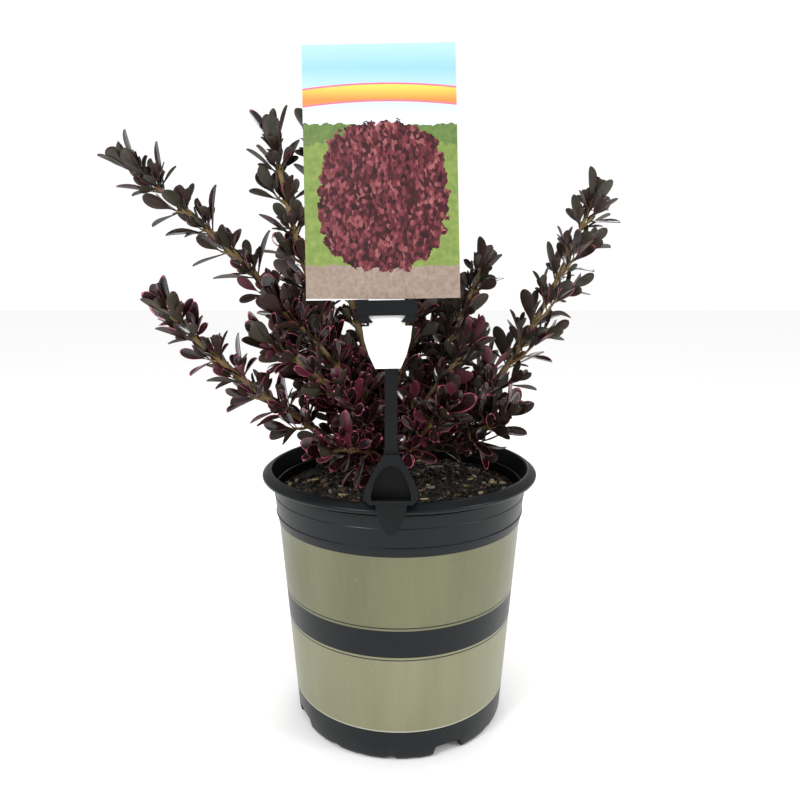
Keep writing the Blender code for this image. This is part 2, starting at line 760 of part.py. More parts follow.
def make_clip():
    """Scoop on the rim, tongue outside it, prong inside it, stem, and a slotted head for the card."""
    black = make_material("clip_plastic", (0.012, 0.014, 0.016), 0.35)
    scoop = [(0.0, 0.0), (0.0130, 0.0), (0.0166, 0.0040), (0.0158, 0.0085), (0.0134, 0.0145),
             (0.0104, 0.0200), (0.0072, 0.0255), (0.0045, SCOOP_HEIGHT), (0.0, SCOOP_HEIGHT)]
    pocket = [(0.0, SCOOP_FLOOR), (0.0118, SCOOP_FLOOR), (0.0120, 0.0060), (0.0100, 0.0135),
              (0.0070, 0.0195), (0.0040, 0.0225), (0.0, 0.0235)]
    tongue = [(0.0, -0.0185), (0.0030, -0.0172), (0.0065, -0.0115), (0.0092, -0.0030),
              (0.0095, 0.0015), (0.0, 0.0015)]
    stem = [(0.0, SCOOP_HEIGHT - 0.003), (STEM_HALF_WIDTH + 0.0014, SCOOP_HEIGHT - 0.003),
            (STEM_HALF_WIDTH, SCOOP_HEIGHT + 0.004), (STEM_HALF_WIDTH, HEAD_LOW + 0.001),
            (0.0, HEAD_LOW + 0.001)]
    head = [(0.0, HEAD_LOW), (HEAD_HALF_WIDTH, HEAD_LOW), (HEAD_HALF_WIDTH, HEAD_HIGH), (0.0, HEAD_HIGH)]
    prong = [(SCOOP_BACK - 0.0016, 0.0010), (SCOOP_BACK - 0.0002, 0.0010),
             (SCOOP_BACK + PRONG_SLANT, -PRONG_DROP), (SCOOP_BACK - 0.0016 + PRONG_SLANT, -PRONG_DROP)]
    body = add_object("label_clip", prism(mirrored(scoop), SCOOP_FRONT, SCOOP_BACK), black, 30)
    hollow = prism(mirrored(pocket), SCOOP_FRONT - 0.002, SCOOP_BACK - 0.0016)
    cut_away(body, add_object("hollow", hollow, black))
    turned_head = prism(mirrored(head), -HEAD_FRONT, CLIP_THICKNESS)
    turned_head.transform(HEAD_TURN)
    adds = [
        prism(mirrored(tongue), SCOOP_FRONT + 0.0012, SCOOP_FRONT + 0.0028),
        prism(mirrored(stem), 0.0, CLIP_THICKNESS - 0.0002),
        side_prism(prong, -0.0050, 0.0050),
        turned_head,
    ]
    for sign in (1.0, -1.0):
        barb = [(0.0170, HEAD_LOW + 0.0010), (0.0170, HEAD_LOW - 0.0036), (0.0140, HEAD_LOW - 0.0046),
                (0.0082, HEAD_LOW - 0.0040), (0.0125, HEAD_LOW + 0.0010)]
        hook = prism([(sign * x, z) for x, z in barb], -HEAD_FRONT + 0.0004, -0.0017)
        hook.transform(HEAD_TURN)
        adds.append(hook)
    fuse_all(body, adds, black)
    slot = [(0.0, HEAD_LOW - 0.006), (0.0118, HEAD_LOW - 0.006), (0.0118, HEAD_HIGH + 0.002),
            (0.0, HEAD_HIGH + 0.002)]
    opening = prism(mirrored(slot), -CARD_THICKNESS - 3 * GAP, -0.0001)
    opening.transform(HEAD_TURN)
    cut_away(body, add_object("opening", opening, black))
    body.data.transform(CLIP_PLANE)
    return body


def make_card():
    """The card with the narrow neck and the tapering tail that hold it in the clip's head."""
    neck = 0.0108
    tail_top = HEAD_LOW - 0.0062
    tail_foot = HEAD_LOW - 0.0315
    right = [(0.0, tail_foot), (0.0076, tail_foot), (0.0112, tail_foot + 0.0080),
             (0.0138, tail_foot + 0.0170), (0.0149, tail_top), (neck, tail_top),
             (neck, HEAD_HIGH + 0.0010), (CARD_WIDTH / 2 + CARD_SHIFT, HEAD_HIGH + 0.0010),
             (CARD_WIDTH / 2 + CARD_SHIFT, HEAD_HIGH + CARD_HEIGHT)]
    left = [(-x, z) for x, z in right if 0.0 < x < CARD_WIDTH / 3]
    edge = -CARD_WIDTH / 2 + CARD_SHIFT
    left += [(edge, HEAD_HIGH + 0.0010), (edge, HEAD_HIGH + CARD_HEIGHT)]
    printed = make_material("card_print", (0.55, 0.50, 0.52), 0.35)
    back = -GAP - 0.0001
    shape = prism(right + left[::-1], back - CARD_THICKNESS, back)
    shape.transform(HEAD_TURN)
    card = add_object("label_card", shape, printed, 30)
    card.data.transform(CLIP_PLANE)
    return card


def main():
    clear_scene()
    make_pot()
    make_soil()
    make_trunk()
    bark = make_material("bough_bark", (0.110, 0.080, 0.048), 0.80)
    leafage = make_material("leafage", (0.040, 0.014, 0.018), 0.35)
    for limb in LIMBS:
        make_bough(limb, bark)
    spaces = Spaces()
    for limb in LIMBS:
        make_mass(limb, spaces, leafage)
    make_clip()
    make_card()


main()
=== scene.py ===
"""Looks of a potted mirror bush: pot, potting mix, bark, twigs, leaves, label clip and card.

Everything is in metres in the frame's own axes: +Z up, -Y the front, origin under the pot.
"""
import json
import math
import random
from collections import namedtuple

import bpy
import numpy as np
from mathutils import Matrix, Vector

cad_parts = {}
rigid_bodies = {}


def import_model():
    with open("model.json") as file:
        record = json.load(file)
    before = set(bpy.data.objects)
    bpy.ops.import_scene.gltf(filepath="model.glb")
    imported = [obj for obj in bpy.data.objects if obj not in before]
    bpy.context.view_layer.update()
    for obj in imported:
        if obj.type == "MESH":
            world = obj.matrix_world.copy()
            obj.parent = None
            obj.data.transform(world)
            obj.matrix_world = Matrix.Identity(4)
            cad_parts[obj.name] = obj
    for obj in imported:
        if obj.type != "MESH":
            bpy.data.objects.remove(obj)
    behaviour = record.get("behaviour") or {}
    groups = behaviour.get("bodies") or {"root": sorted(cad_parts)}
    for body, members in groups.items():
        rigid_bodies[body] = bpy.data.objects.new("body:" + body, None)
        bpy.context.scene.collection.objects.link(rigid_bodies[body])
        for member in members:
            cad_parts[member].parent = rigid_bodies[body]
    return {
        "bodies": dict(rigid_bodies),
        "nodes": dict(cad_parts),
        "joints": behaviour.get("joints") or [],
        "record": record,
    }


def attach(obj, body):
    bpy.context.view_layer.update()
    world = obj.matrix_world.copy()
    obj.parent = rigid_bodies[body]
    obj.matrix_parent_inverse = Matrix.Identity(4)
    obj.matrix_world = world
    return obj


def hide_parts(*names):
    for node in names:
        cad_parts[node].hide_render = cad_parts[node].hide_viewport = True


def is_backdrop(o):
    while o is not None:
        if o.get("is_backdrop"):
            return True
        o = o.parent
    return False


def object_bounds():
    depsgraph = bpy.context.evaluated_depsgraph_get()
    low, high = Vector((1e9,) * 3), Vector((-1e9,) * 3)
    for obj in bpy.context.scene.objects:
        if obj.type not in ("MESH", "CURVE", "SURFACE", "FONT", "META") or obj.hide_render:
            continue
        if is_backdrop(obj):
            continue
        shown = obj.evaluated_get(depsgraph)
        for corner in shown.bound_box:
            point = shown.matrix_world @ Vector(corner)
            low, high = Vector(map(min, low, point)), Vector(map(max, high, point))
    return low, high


# Camera of the photograph, fitted to the pot
IMAGE_SIZE = 800.0
FOCAL_PIXELS = 695.1
MIDDLE_COLUMN = 399.37
CAMERA_PLACE = (0.0, -0.50, 0.326)
CAMERA_PITCH = 10.216
SENSOR_WIDTH = 36.0
NEAR_LIMIT = 0.01

# Studio light
DIFFUSE_LIGHT = 1.06
GLOSS_LIGHT = 0.40
FLOOR_REACH = 6.0
Lamp = namedtuple("Lamp", "name place aim size power")
LAMPS = (
    Lamp("key", (-0.7, -0.9, 1.1), (0.0, 0.0, 0.25), 0.30, 8.0),
    Lamp("fill", (1.0, -0.5, 0.7), (0.0, 0.0, 0.2), 0.30, 4.5),
    Lamp("back", (0.2, 1.1, 1.0), (0.0, 0.0, 0.3), 0.6, 4.0),
)

# Pot
POT_STEPS = 288
POT_HEIGHT = 0.189
LIP_RADIUS = 0.100
LIP_EDGE = 0.1850
LIP_THICKNESS = 0.0022
MOUTH_RADIUS = 0.0931
FOOT_RADIUS = 0.0747
WALL_AT_FLOOR = 0.0776
WALL_FLARE = 0.0746
WALL_THICKNESS = 0.0014
STEP_LOW = 0.1485
STEP_HIGH = 0.1548
COLLAR_RADIUS = 0.0900
COLLAR_FLARE = 0.085
PAD_RADIUS = 0.058
FLOOR_LIFT = 0.009
FOOT_POINTS = range(3, 13)

# Ridges moulded on the collar: how far each point stands off it, and its height
RIDGES = (
    (0.0, STEP_HIGH), (0.0001, 0.1568), (0.0006, 0.1573), (0.0006, 0.1579), (0.0001, 0.1584),
    (0.0001, 0.1700), (0.0004, 0.1704), (0.0004, 0.1709), (0.0001, 0.1713), (0.0002, 0.1786),
    (0.0011, 0.1791), (0.0011, 0.1799), (0.0003, 0.1804),
)

# Cut-outs of the foot, repeated in each quarter; angles in degrees
QUARTER = 90.0
WIDE_NOTCH_ANGLE = -64.0
WIDE_NOTCH_HALF = 8.8
WIDE_NOTCH_EASE = 1.3
WIDE_NOTCH_HEIGHT = 0.0078
SMALL_NOTCH_HALF = 2.6
SMALL_NOTCHES = ((28.5, 0.0025), (44.0, 0.0013), (59.7, 0.0032), (70.8, 0.0018))

# Printed bands of the pot, by height: where each finish begins, from the foot up
BANDS = (
    (0.0, "plastic"), (0.0226, "edge"), (0.0232, "lower"), (0.0769, "plastic"), (0.0774, "lower"),
    (0.0792, "plastic"), (0.0991, "upper"), (0.1005, "plastic"), (0.1010, "upper"),
    (0.1508, "edge"), (0.1514, "plastic"),
)

# Potting mix
SOIL_TOP = 0.1730
SOIL_SINK = 0.0035
SOIL_STEPS = 120
SOIL_RINGS = 46
CHIPS = 3200
CHIP_SHARES = (50, 30, 10, 3.5, 4.5, 2.5)
CHIP_TONES = (
    ((0.004, 0.003, 0.0025), (0.016, 0.011, 0.008)), ((0.010, 0.007, 0.005), (0.040, 0.025, 0.016)),
    ((0.055, 0.030, 0.016), (0.150, 0.085, 0.045)), ((0.150, 0.100, 0.050), (0.330, 0.230, 0.120)),
    ((0.090, 0.085, 0.075), (0.230, 0.220, 0.200)), ((0.230, 0.170, 0.085), (0.480, 0.380, 0.230)),
)
CHIP_OUTLINE = ((-0.5, -0.2), (-0.25, -0.5), (0.3, -0.42), (0.5, 0.05), (0.22, 0.5), (-0.36, 0.34))
TRUNK_CLEARANCE = 0.0125

# Trunk and limbs, as the solids have them; the table of limbs is in millimetres
MM = 0.001
GAP = 0.0003
TRUNK_FOOT = np.array((-0.004, 0.014, SOIL_TOP + GAP))
TRUNK_TOP = np.array((-0.006, 0.019, 0.2075))
TRUNK_RADIUS = 0.0078
TRUNK_TOP_RADIUS = 0.0062
TRUNK_FLARE = 0.0045
TRUNK_FLARE_HEIGHT = 0.006
TIP_RADIUS = 0.0013
TRUNK_RINGS = 22
TRUNK_SIDES = 24
BARK_SIDES = 14
TWIG_SIDES = 6
RING_GAP = 0.0026
KNOT_WIDTH = 0.0022
KNOT_SWELL = 0.26
YOUTH_START = 0.22
YOUTH_SPAN = 0.55
OLD_WOOD = 0.05
TWIG_YOUTH = 0.85
UP = np.array((0.0, 0.0, 1.0))

# Shoots: crossed pairs of leaves on nodes that crowd towards the tip
NODE_GAP = 0.0205
TIP_INSET = 0.0022
TIP_GAP = 0.0070
GAP_GROWTH = 1.7
LEAF_LENGTH = 0.0300
LEAF_WIDTH_RATIO = 0.41
LEAF_ANGLE = 50.0
TIP_LEAF_ANGLE = 20.0
LEAF_LIFT = 0.22
TWIG_ANGLE = 42.0
TWIG_LIFT = 0.30
TWIG_RADIUS = 0.0011
SPUR_ANGLE = 34.0
INNER_ANGLE = 50.0
INNER_GAP = 0.0115
SPUR_LEAF = 0.0135
TWIG_LEAF = 0.0205
SHORT_TWIG_LEAF = 0.0150
INNER_LEAF = 0.0185
LEAF_THICKNESS = 0.0006
KEEL_SHARE = 0.012
FOLD_RISE = 0.30
CURL_DROP = 1.4
TWIST = 0.25
LEAF_STATIONS = (0.0, 0.10, 0.22, 0.36, 0.50, 0.64, 0.77, 0.88, 0.955, 1.0)
LEAF_WIDTHS = (0.09, 0.11, 0.30, 0.62, 0.88, 1.0, 0.97, 0.80, 0.52, 0.16)
LEAF_COLUMNS = (-1.0, -0.86, -0.42, 0.0, 0.42, 0.86, 1.0)
SHOOT_STEPS = 120

# Order of the leaf tones in each piece: upper sides, then margins, then undersides
BLACK, WINE, UMBER, CLARET = range(4)
DARK_EDGE, ROSE_EDGE, PINK_EDGE = range(4, 7)
OLIVE_BACK, BROWN_BACK, WINE_BACK = range(7, 10)

# Label clip, whose plane leans back
CLIP_FOOT = np.array((-0.0050, -0.1020, POT_HEIGHT + 0.0017))
CLIP_LEAN = 10.2
HEAD_LOW = 0.1128
HEAD_HIGH = 0.1218
CARD_WIDTH = 0.092
CARD_HEIGHT = 0.1535
CARD_ASIDE = 0.005
STEM_LOW = -0.02
SCOOP_HEIGHT = 0.0300

# Room that the leaves leave round the label: to its sides, and behind it
CARD_ROOM = (0.007, 0.003)
STEM_ROOM = (0.007, 0.004)
SCOOP_ROOM = (0.020, 0.018)
END_ROOM = 0.004

# Levels of the card's print, as shares of its height, and the mound's middle and half sizes
PATH_TOP = 0.13
TREES_LOW = 0.60
TREES_HIGH = 0.68
BAND_LOW = 0.775
BAND_HIGH = 0.835
BAND_RIM = 0.007
BAND_BOW = 9.0
MOUND_MIDDLE = (-0.0045, 0.40)
MOUND_HALF = (0.0385, 0.29)
MOUND_POWER = 2.6

Limb = namedtuple("Limb", "name parent share elbow tip thick leafy reach phase seed")
LIMBS = (
    Limb("upper_left", None, 0.52, (-74, 6, 314), (-174, -22, 394), 3.4, 0.27, 17, 0, 11),
    Limb("lower_left", None, 0.22, (-80, -18, 219), (-144, -60, 301), 3.2, 0.30, 18, 20, 12),
    Limb("inner_left", "upper_left", 0.09, (-42, -14, 268), (-77, -42, 303), 2.4, 0.30, 16, 30, 13),
    Limb("middle_left", None, 0.42, (-30, -18, 240), (-84, -46, 282), 2.4, 0.34, 14, 60, 14),
    Limb("front_left", None, 0.24, (-18, -20, 206), (-44, -54, 212), 2.2, 0.34, 12, 0, 15),
    Limb("near_left", "lower_left", 0.14, (-40, -8, 236), (-66, -22, 256), 2.2, 0.30, 12, 45, 16),
    Limb("upright_left", "upper_left", 0.10, (-70, 18, 302), (-86, 0, 416), 2.8, 0.24, 18, 10, 17),
    Limb("upright", None, 0.97, (-42, 26, 310), (-60, 30, 428), 3.2, 0.26, 17, 40, 18),
    Limb("centre", "upright", 0.08, (20, 18, 286), (8, 34, 418), 3.0, 0.22, 20, 15, 19),
    Limb("right", None, 0.25, (77, 27, 207), (151, 61, 384), 3.6, 0.50, 34, 5, 20),
    Limb("inner_right", None, 0.74, (30, 40, 250), (65, 60, 331), 2.8, 0.36, 16, 25, 21),
    Limb("middle_right", None, 0.58, (20, 6, 240), (54, 14, 276), 2.4, 0.34, 17, 50, 22),
    Limb("near_right", "right", 0.20, (38, 10, 206), (37, 4, 236), 2.2, 0.34, 13, 0, 23),
    Limb("low_right", "right", 0.30, (58, 4, 206), (76, -16, 228), 2.2, 0.36, 15, 35, 24),
    Limb("front_right", None, 0.38, (14, -14, 212), (30, -46, 236), 2.2, 0.36, 14, 70, 25),
    Limb("back_left", None, 0.70, (-44, 66, 250), (-90, 98, 326), 2.8, 0.30, 18, 12, 26),
    Limb("back_right", None, 0.46, (34, 66, 224), (48, 96, 304), 2.8, 0.32, 18, 48, 27),
    Limb("back_low_left", None, 0.30, (-40, 60, 200), (-58, 104, 246), 2.4, 0.32, 16, 30, 28),
    Limb("back_low_right", "back_right", 0.20, (58, 62, 206), (72, 92, 242), 2.2, 0.28, 15, 66, 29),
    Limb("back_middle", None, 0.60, (-6, 74, 236), (-12, 104, 292), 2.4, 0.34, 17, 22, 30),
    Limb("high_back_left", "upright", 0.17, (-24, 68, 300), (-34, 78, 390), 2.4, 0.24, 17, 54, 31),
    Limb("high_back_right", "centre", 0.14, (30, 62, 296), (24, 76, 372), 2.4, 0.24, 17, 18, 32),
)
BY_NAME = {limb.name: limb for limb in LIMBS}


def unit(vector):
    return vector / np.linalg.norm(vector)


class Heap:
    """Gathers many small shapes into the arrays of one mesh."""

    def __init__(self):
        self.points = []
        self.corners = []
        self.sizes = []
        self.finishes = []
        self.values = []
        self.count = 0

    def add(self, points, corners, sizes, finishes, values=None):
        self.points.append(np.asarray(points, np.float32))
        self.corners.append(np.asarray(corners, np.int32) + self.count)
        self.sizes.append(np.asarray(sizes, np.int32))
        self.finishes.append(np.asarray(finishes, np.int32))
        self.values.append(np.zeros(len(points), np.float32) if values is None
                           else np.asarray(values, np.float32))
        self.count += len(points)

    def mesh_object(self, name, materials, sharp=None, value_name=None):
        mesh = bpy.data.meshes.new(name)
        points = np.concatenate(self.points)
        corners = np.concatenate(self.corners)
        sizes = np.concatenate(self.sizes)
        mesh.vertices.add(len(points))
        mesh.loops.add(len(corners))
        mesh.polygons.add(len(sizes))
        mesh.vertices.foreach_set("co", points.ravel())
        mesh.loops.foreach_set("vertex_index", corners)
        starts = np.concatenate(([0], np.cumsum(sizes)[:-1]))
        mesh.polygons.foreach_set("loop_start", starts.astype(np.int32))
        for material in materials:
            mesh.materials.append(material)
        mesh.polygons.foreach_set("material_index", np.concatenate(self.finishes))
        mesh.update(calc_edges=True)
        if value_name:
            attribute = mesh.attributes.new(value_name, "FLOAT", "POINT")
            attribute.data.foreach_set("value", np.concatenate(self.values))
        if sharp is not None:
            mesh.shade_smooth()
            mesh.set_sharp_from_angle(angle=math.radians(sharp))
        item = bpy.data.objects.new(name, mesh)
        bpy.context.scene.collection.objects.link(item)
        return item


def ring_faces(rings, sides):
    """Quads between rings of equal sides, then one face with many corners on each end."""
    corners = []
    sizes = []
    for ring in range(rings - 1):
        for step in range(sides):
            after = (step + 1) % sides
            corners += [ring * sides + step, ring * sides + after,
                        (ring + 1) * sides + after, (ring + 1) * sides + step]
            sizes.append(4)
    corners += list(range(sides))[::-1]
    corners += [(rings - 1) * sides + step for step in range(sides)]
    sizes += [sides, sides]
    return corners, sizes


def path_frames(tangents):
    """Cross directions that turn as little as the path lets them."""
    reference = UP if abs(tangents[0] @ UP) < 0.95 else np.array((0.0, -1.0, 0.0))
    side = unit(reference - tangents[0] * (reference @ tangents[0]))
    frames = []
    for tangent in tangents:
        side = unit(side - tangent * (side @ tangent))
        frames.append((tangent, side, np.cross(tangent, side)))
    return frames


def add_tube(heap, points, radii, sides, values, relief, seed, tangents=None):
    """A tapering rod along a path, with an uneven surface."""
    points = np.array(points)
    if tangents is None:
        steps = np.gradient(points, axis=0)
        tangents = [unit(step) for step in steps]
    chance = np.random.default_rng(seed)
    angles = 2.0 * math.pi * np.arange(sides) / sides
    ridges = chance.normal(0.0, 1.0, sides)
    rings = []
    for point, radius, frame in zip(points, radii, path_frames(tangents)):
        rough = 1.0 + relief * (0.5 * ridges + 0.5 * chance.normal(0.0, 1.0, sides))
        across = np.cos(angles)[:, None] * frame[1] + np.sin(angles)[:, None] * frame[2]
        rings.append(point + across * (radius * rough)[:, None])
    corners, sizes = ring_faces(len(points), sides)
    heap.add(np.concatenate(rings), corners, sizes, np.zeros(len(sizes)), np.repeat(values, sides))


def bend(start, elbow, end, share):
    rest = 1.0 - share
    return start * (rest * rest) + elbow * (2.0 * rest * share) + end * (share * share)


def root_of(limb):
    if limb.parent is None:
        return TRUNK_FOOT + (TRUNK_TOP - TRUNK_FOOT) * limb.share
    return limb_point(BY_NAME[limb.parent], limb.share)


def limb_point(limb, share):
    return bend(root_of(limb), np.array(limb.elbow) * MM, np.array(limb.tip) * MM, share)


def limb_tangent(limb, share):
    elbow = np.array(limb.elbow) * MM
    tip = np.array(limb.tip) * MM
    return unit((elbow - root_of(limb)) * (1.0 - share) + (tip - elbow) * share)


def limb_radius(limb, share):
    thick = limb.thick * MM
    return thick + (TIP_RADIUS - thick) * share


def limb_length(limb, start, runs=24):
    points = [limb_point(limb, start + (1.0 - start) * run / runs) for run in range(runs + 1)]
    return sum(np.linalg.norm(b - a) for a, b in zip(points, points[1:]))


def node_distances(length):
    """Distances of the nodes from the tip, crowded there and evenly spaced further down."""
    distance = TIP_INSET
    gap = TIP_GAP
    while distance < length:
        yield distance
        distance += gap
        gap = min(NODE_GAP, gap * GAP_GROWTH)


# Shader building


class Nodes:
    """Short calls for the node tree of one material."""

    def __init__(self, name, roughness, coat=0.0, specular=0.5):
        self.material = bpy.data.materials.new(name)
        self.material.use_nodes = True
        self.tree = self.material.node_tree
        self.shader = self.tree.nodes["Principled BSDF"]
        self.shader.inputs["Roughness"].default_value = roughness
        self.shader.inputs["Coat Weight"].default_value = coat
        self.shader.inputs["Coat Roughness"].default_value = 0.12
        self.shader.inputs["Specular IOR Level"].default_value = specular

    def node(self, kind, inputs=(), **settings):
        made = self.tree.nodes.new(kind)
        for key, value in settings.items():
            setattr(made, key, value)
        for key, value in dict(inputs).items():
            if isinstance(value, bpy.types.NodeSocket):
                self.tree.links.new(value, made.inputs[key])
            else:
                made.inputs[key].default_value = value
        return made

    def place(self):
        return self.node("ShaderNodeTexCoord").outputs["Object"]

    def mapped(self, vector, location=(0, 0, 0), turn=(0, 0, 0), scale=(1, 1, 1), kind="POINT"):
        inputs = {"Vector": vector, "Location": location, "Rotation": turn, "Scale": scale}
        return self.node("ShaderNodeMapping", inputs, vector_type=kind).outputs["Vector"]

    def parts(self, vector):
        split = self.node("ShaderNodeSeparateXYZ", {"Vector": vector})
        return split.outputs["X"], split.outputs["Y"], split.outputs["Z"]

    def math(self, operation, first, second=0.0, third=0.0):
        return self.node("ShaderNodeMath", {0: first, 1: second, 2: third}, operation=operation).outputs[0]

    def noise(self, vector, scale, detail=3.0, rough=0.55):
        inputs = {"Vector": vector, "Scale": scale, "Detail": detail, "Roughness": rough}
        return self.node("ShaderNodeTexNoise", inputs).outputs["Fac"]

    def cells(self, vector, scale, output="Distance"):
        return self.node("ShaderNodeTexVoronoi", {"Vector": vector, "Scale": scale}).outputs[output]

    def mix(self, share, first, second):
        made = self.tree.nodes.new("ShaderNodeMix")
        made.data_type = "RGBA"
        for key, value in ((0, share), (6, first), (7, second)):
            if isinstance(value, bpy.types.NodeSocket):
                self.tree.links.new(value, made.inputs[key])
            elif key == 0:
                made.inputs[key].default_value = value
            else:
                made.inputs[key].default_value = (*value, 1.0)
        return made.outputs[2]

    def ramp(self, value, stops, steps=False):
        made = self.node("ShaderNodeValToRGB", {"Fac": value})
        band = made.color_ramp
        band.interpolation = "CONSTANT" if steps else "LINEAR"
        while len(band.elements) < len(stops):
            band.elements.new(1.0)
        for element, (place, colour) in zip(band.elements, stops):
            element.position = place
            element.color = (*colour, 1.0)
        return made.outputs["Color"]

    def between(self, value, low, high):
        """1 where the value lies between the two limits."""
        above = self.math("GREATER_THAN", value, low)
        below = self.math("LESS_THAN", value, high)
        return self.math("MULTIPLY", above, below)

    def set(self, name, socket):
        self.tree.links.new(socket, self.shader.inputs[name])

    def colour(self, socket):
        self.set("Base Color", socket)

    def bump(self, height, strength, distance):
        inputs = {"Height": height, "Strength": strength, "Distance": distance}
        self.set("Normal", self.node("ShaderNodeBump", inputs).outputs["Normal"])


def grey(value):
    return (value, value, value)


def mottled(name, dark, light, scale, roughness, coat=0.0, bump=0.0003):
    """A plain colour that drifts between two near tones, with a little relief."""
    made = Nodes(name, roughness, coat=coat)
    place = made.place()
    cloud = made.noise(place, scale)
    made.colour(made.mix(cloud, dark, light))
    made.bump(made.noise(place, scale * 4.0), 0.35, bump)
    return made.material


def pot_finish():
    """Black moulded plastic with satin gold print between plain bands."""
    made = Nodes("pot_finish", 0.36, specular=0.24)
    place = made.place()
    height = made.parts(place)[2]
    masks = {"plastic": grey(0.0), "edge": grey(0.4), "lower": grey(0.8), "upper": grey(1.0)}
    top = 0.2
    stops = [(level / top, masks[kind]) for level, kind in BANDS]
    band = made.ramp(made.math("DIVIDE", height, top), stops, steps=True)
    print_mask = made.math("GREATER_THAN", band, 0.6)
    upper_mask = made.math("GREATER_THAN", band, 0.9)
    edge_mask = made.between(band, 0.2, 0.6)
    streaks = made.noise(made.mapped(place, scale=(26.0, 26.0, 3.0)), 1.6, 5.0, 0.6)
    cloud = made.noise(place, 22.0, 4.0)
    upper = made.mix(streaks, (0.104, 0.108, 0.058), (0.212, 0.212, 0.130))
    lower = made.mix(streaks, (0.178, 0.178, 0.106), (0.282, 0.276, 0.180))
    gold = made.mix(upper_mask, lower, upper)
    speck = made.math("LESS_THAN", made.cells(place, 240.0), 0.055)
    gold = made.mix(made.math("MULTIPLY", speck, 0.7), gold, (0.55, 0.55, 0.50))
    black = made.mix(cloud, (0.0030, 0.0045, 0.0055), (0.0075, 0.0095, 0.0110))
    dust = made.math("LESS_THAN", made.cells(place, 330.0), 0.05)
    black = made.mix(made.math("MULTIPLY", dust, 0.35), black, (0.10, 0.11, 0.11))
    colour = made.mix(print_mask, black, gold)
    made.colour(made.mix(edge_mask, colour, (0.42, 0.42, 0.35)))
    made.set("Metallic", made.math("MULTIPLY", print_mask, 0.35))
    rough = made.math("MULTIPLY_ADD", cloud, 0.16, 0.26)
    made.set("Roughness", rough)
    grain = made.noise(place, 900.0, 2.0)
    made.bump(grain, 0.10, 0.0002)
    return made.material


def bark_finish():
    """Dark brown old bark that turns olive gold and smooth towards the tips."""
    made = Nodes("bark_finish", 0.62, specular=0.35)
    place = made.place()
    age = made.node("ShaderNodeAttribute", attribute_name="youth").outputs["Fac"]
    rough = made.noise(made.mapped(place, scale=(1.0, 1.0, 0.35)), 420.0, 5.0, 0.7)
    old = made.mix(rough, (0.030, 0.018, 0.011), (0.125, 0.082, 0.048))
    young = made.mix(rough, (0.120, 0.078, 0.026), (0.300, 0.205, 0.080))
    made.colour(made.mix(age, old, young))
    made.bump(rough, 0.6, 0.0006)
    return made.material


def clip_finish():
    made = Nodes("clip_finish", 0.33, specular=0.28)
    place = made.place()
    cloud = made.noise(place, 40.0)
    made.colour(made.mix(cloud, (0.0030, 0.0038, 0.0044), (0.0080, 0.0090, 0.0098)))
    made.bump(made.noise(place, 1500.0, 2.0), 0.25, 0.00015)
    return made.material


def card_place(made):
    """Coordinates across and up the card, from the clip's own plane."""
    return made.mapped(made.place(), tuple(CLIP_FOOT), (math.radians(-CLIP_LEAN), 0.0, 0.0), kind="TEXTURE")


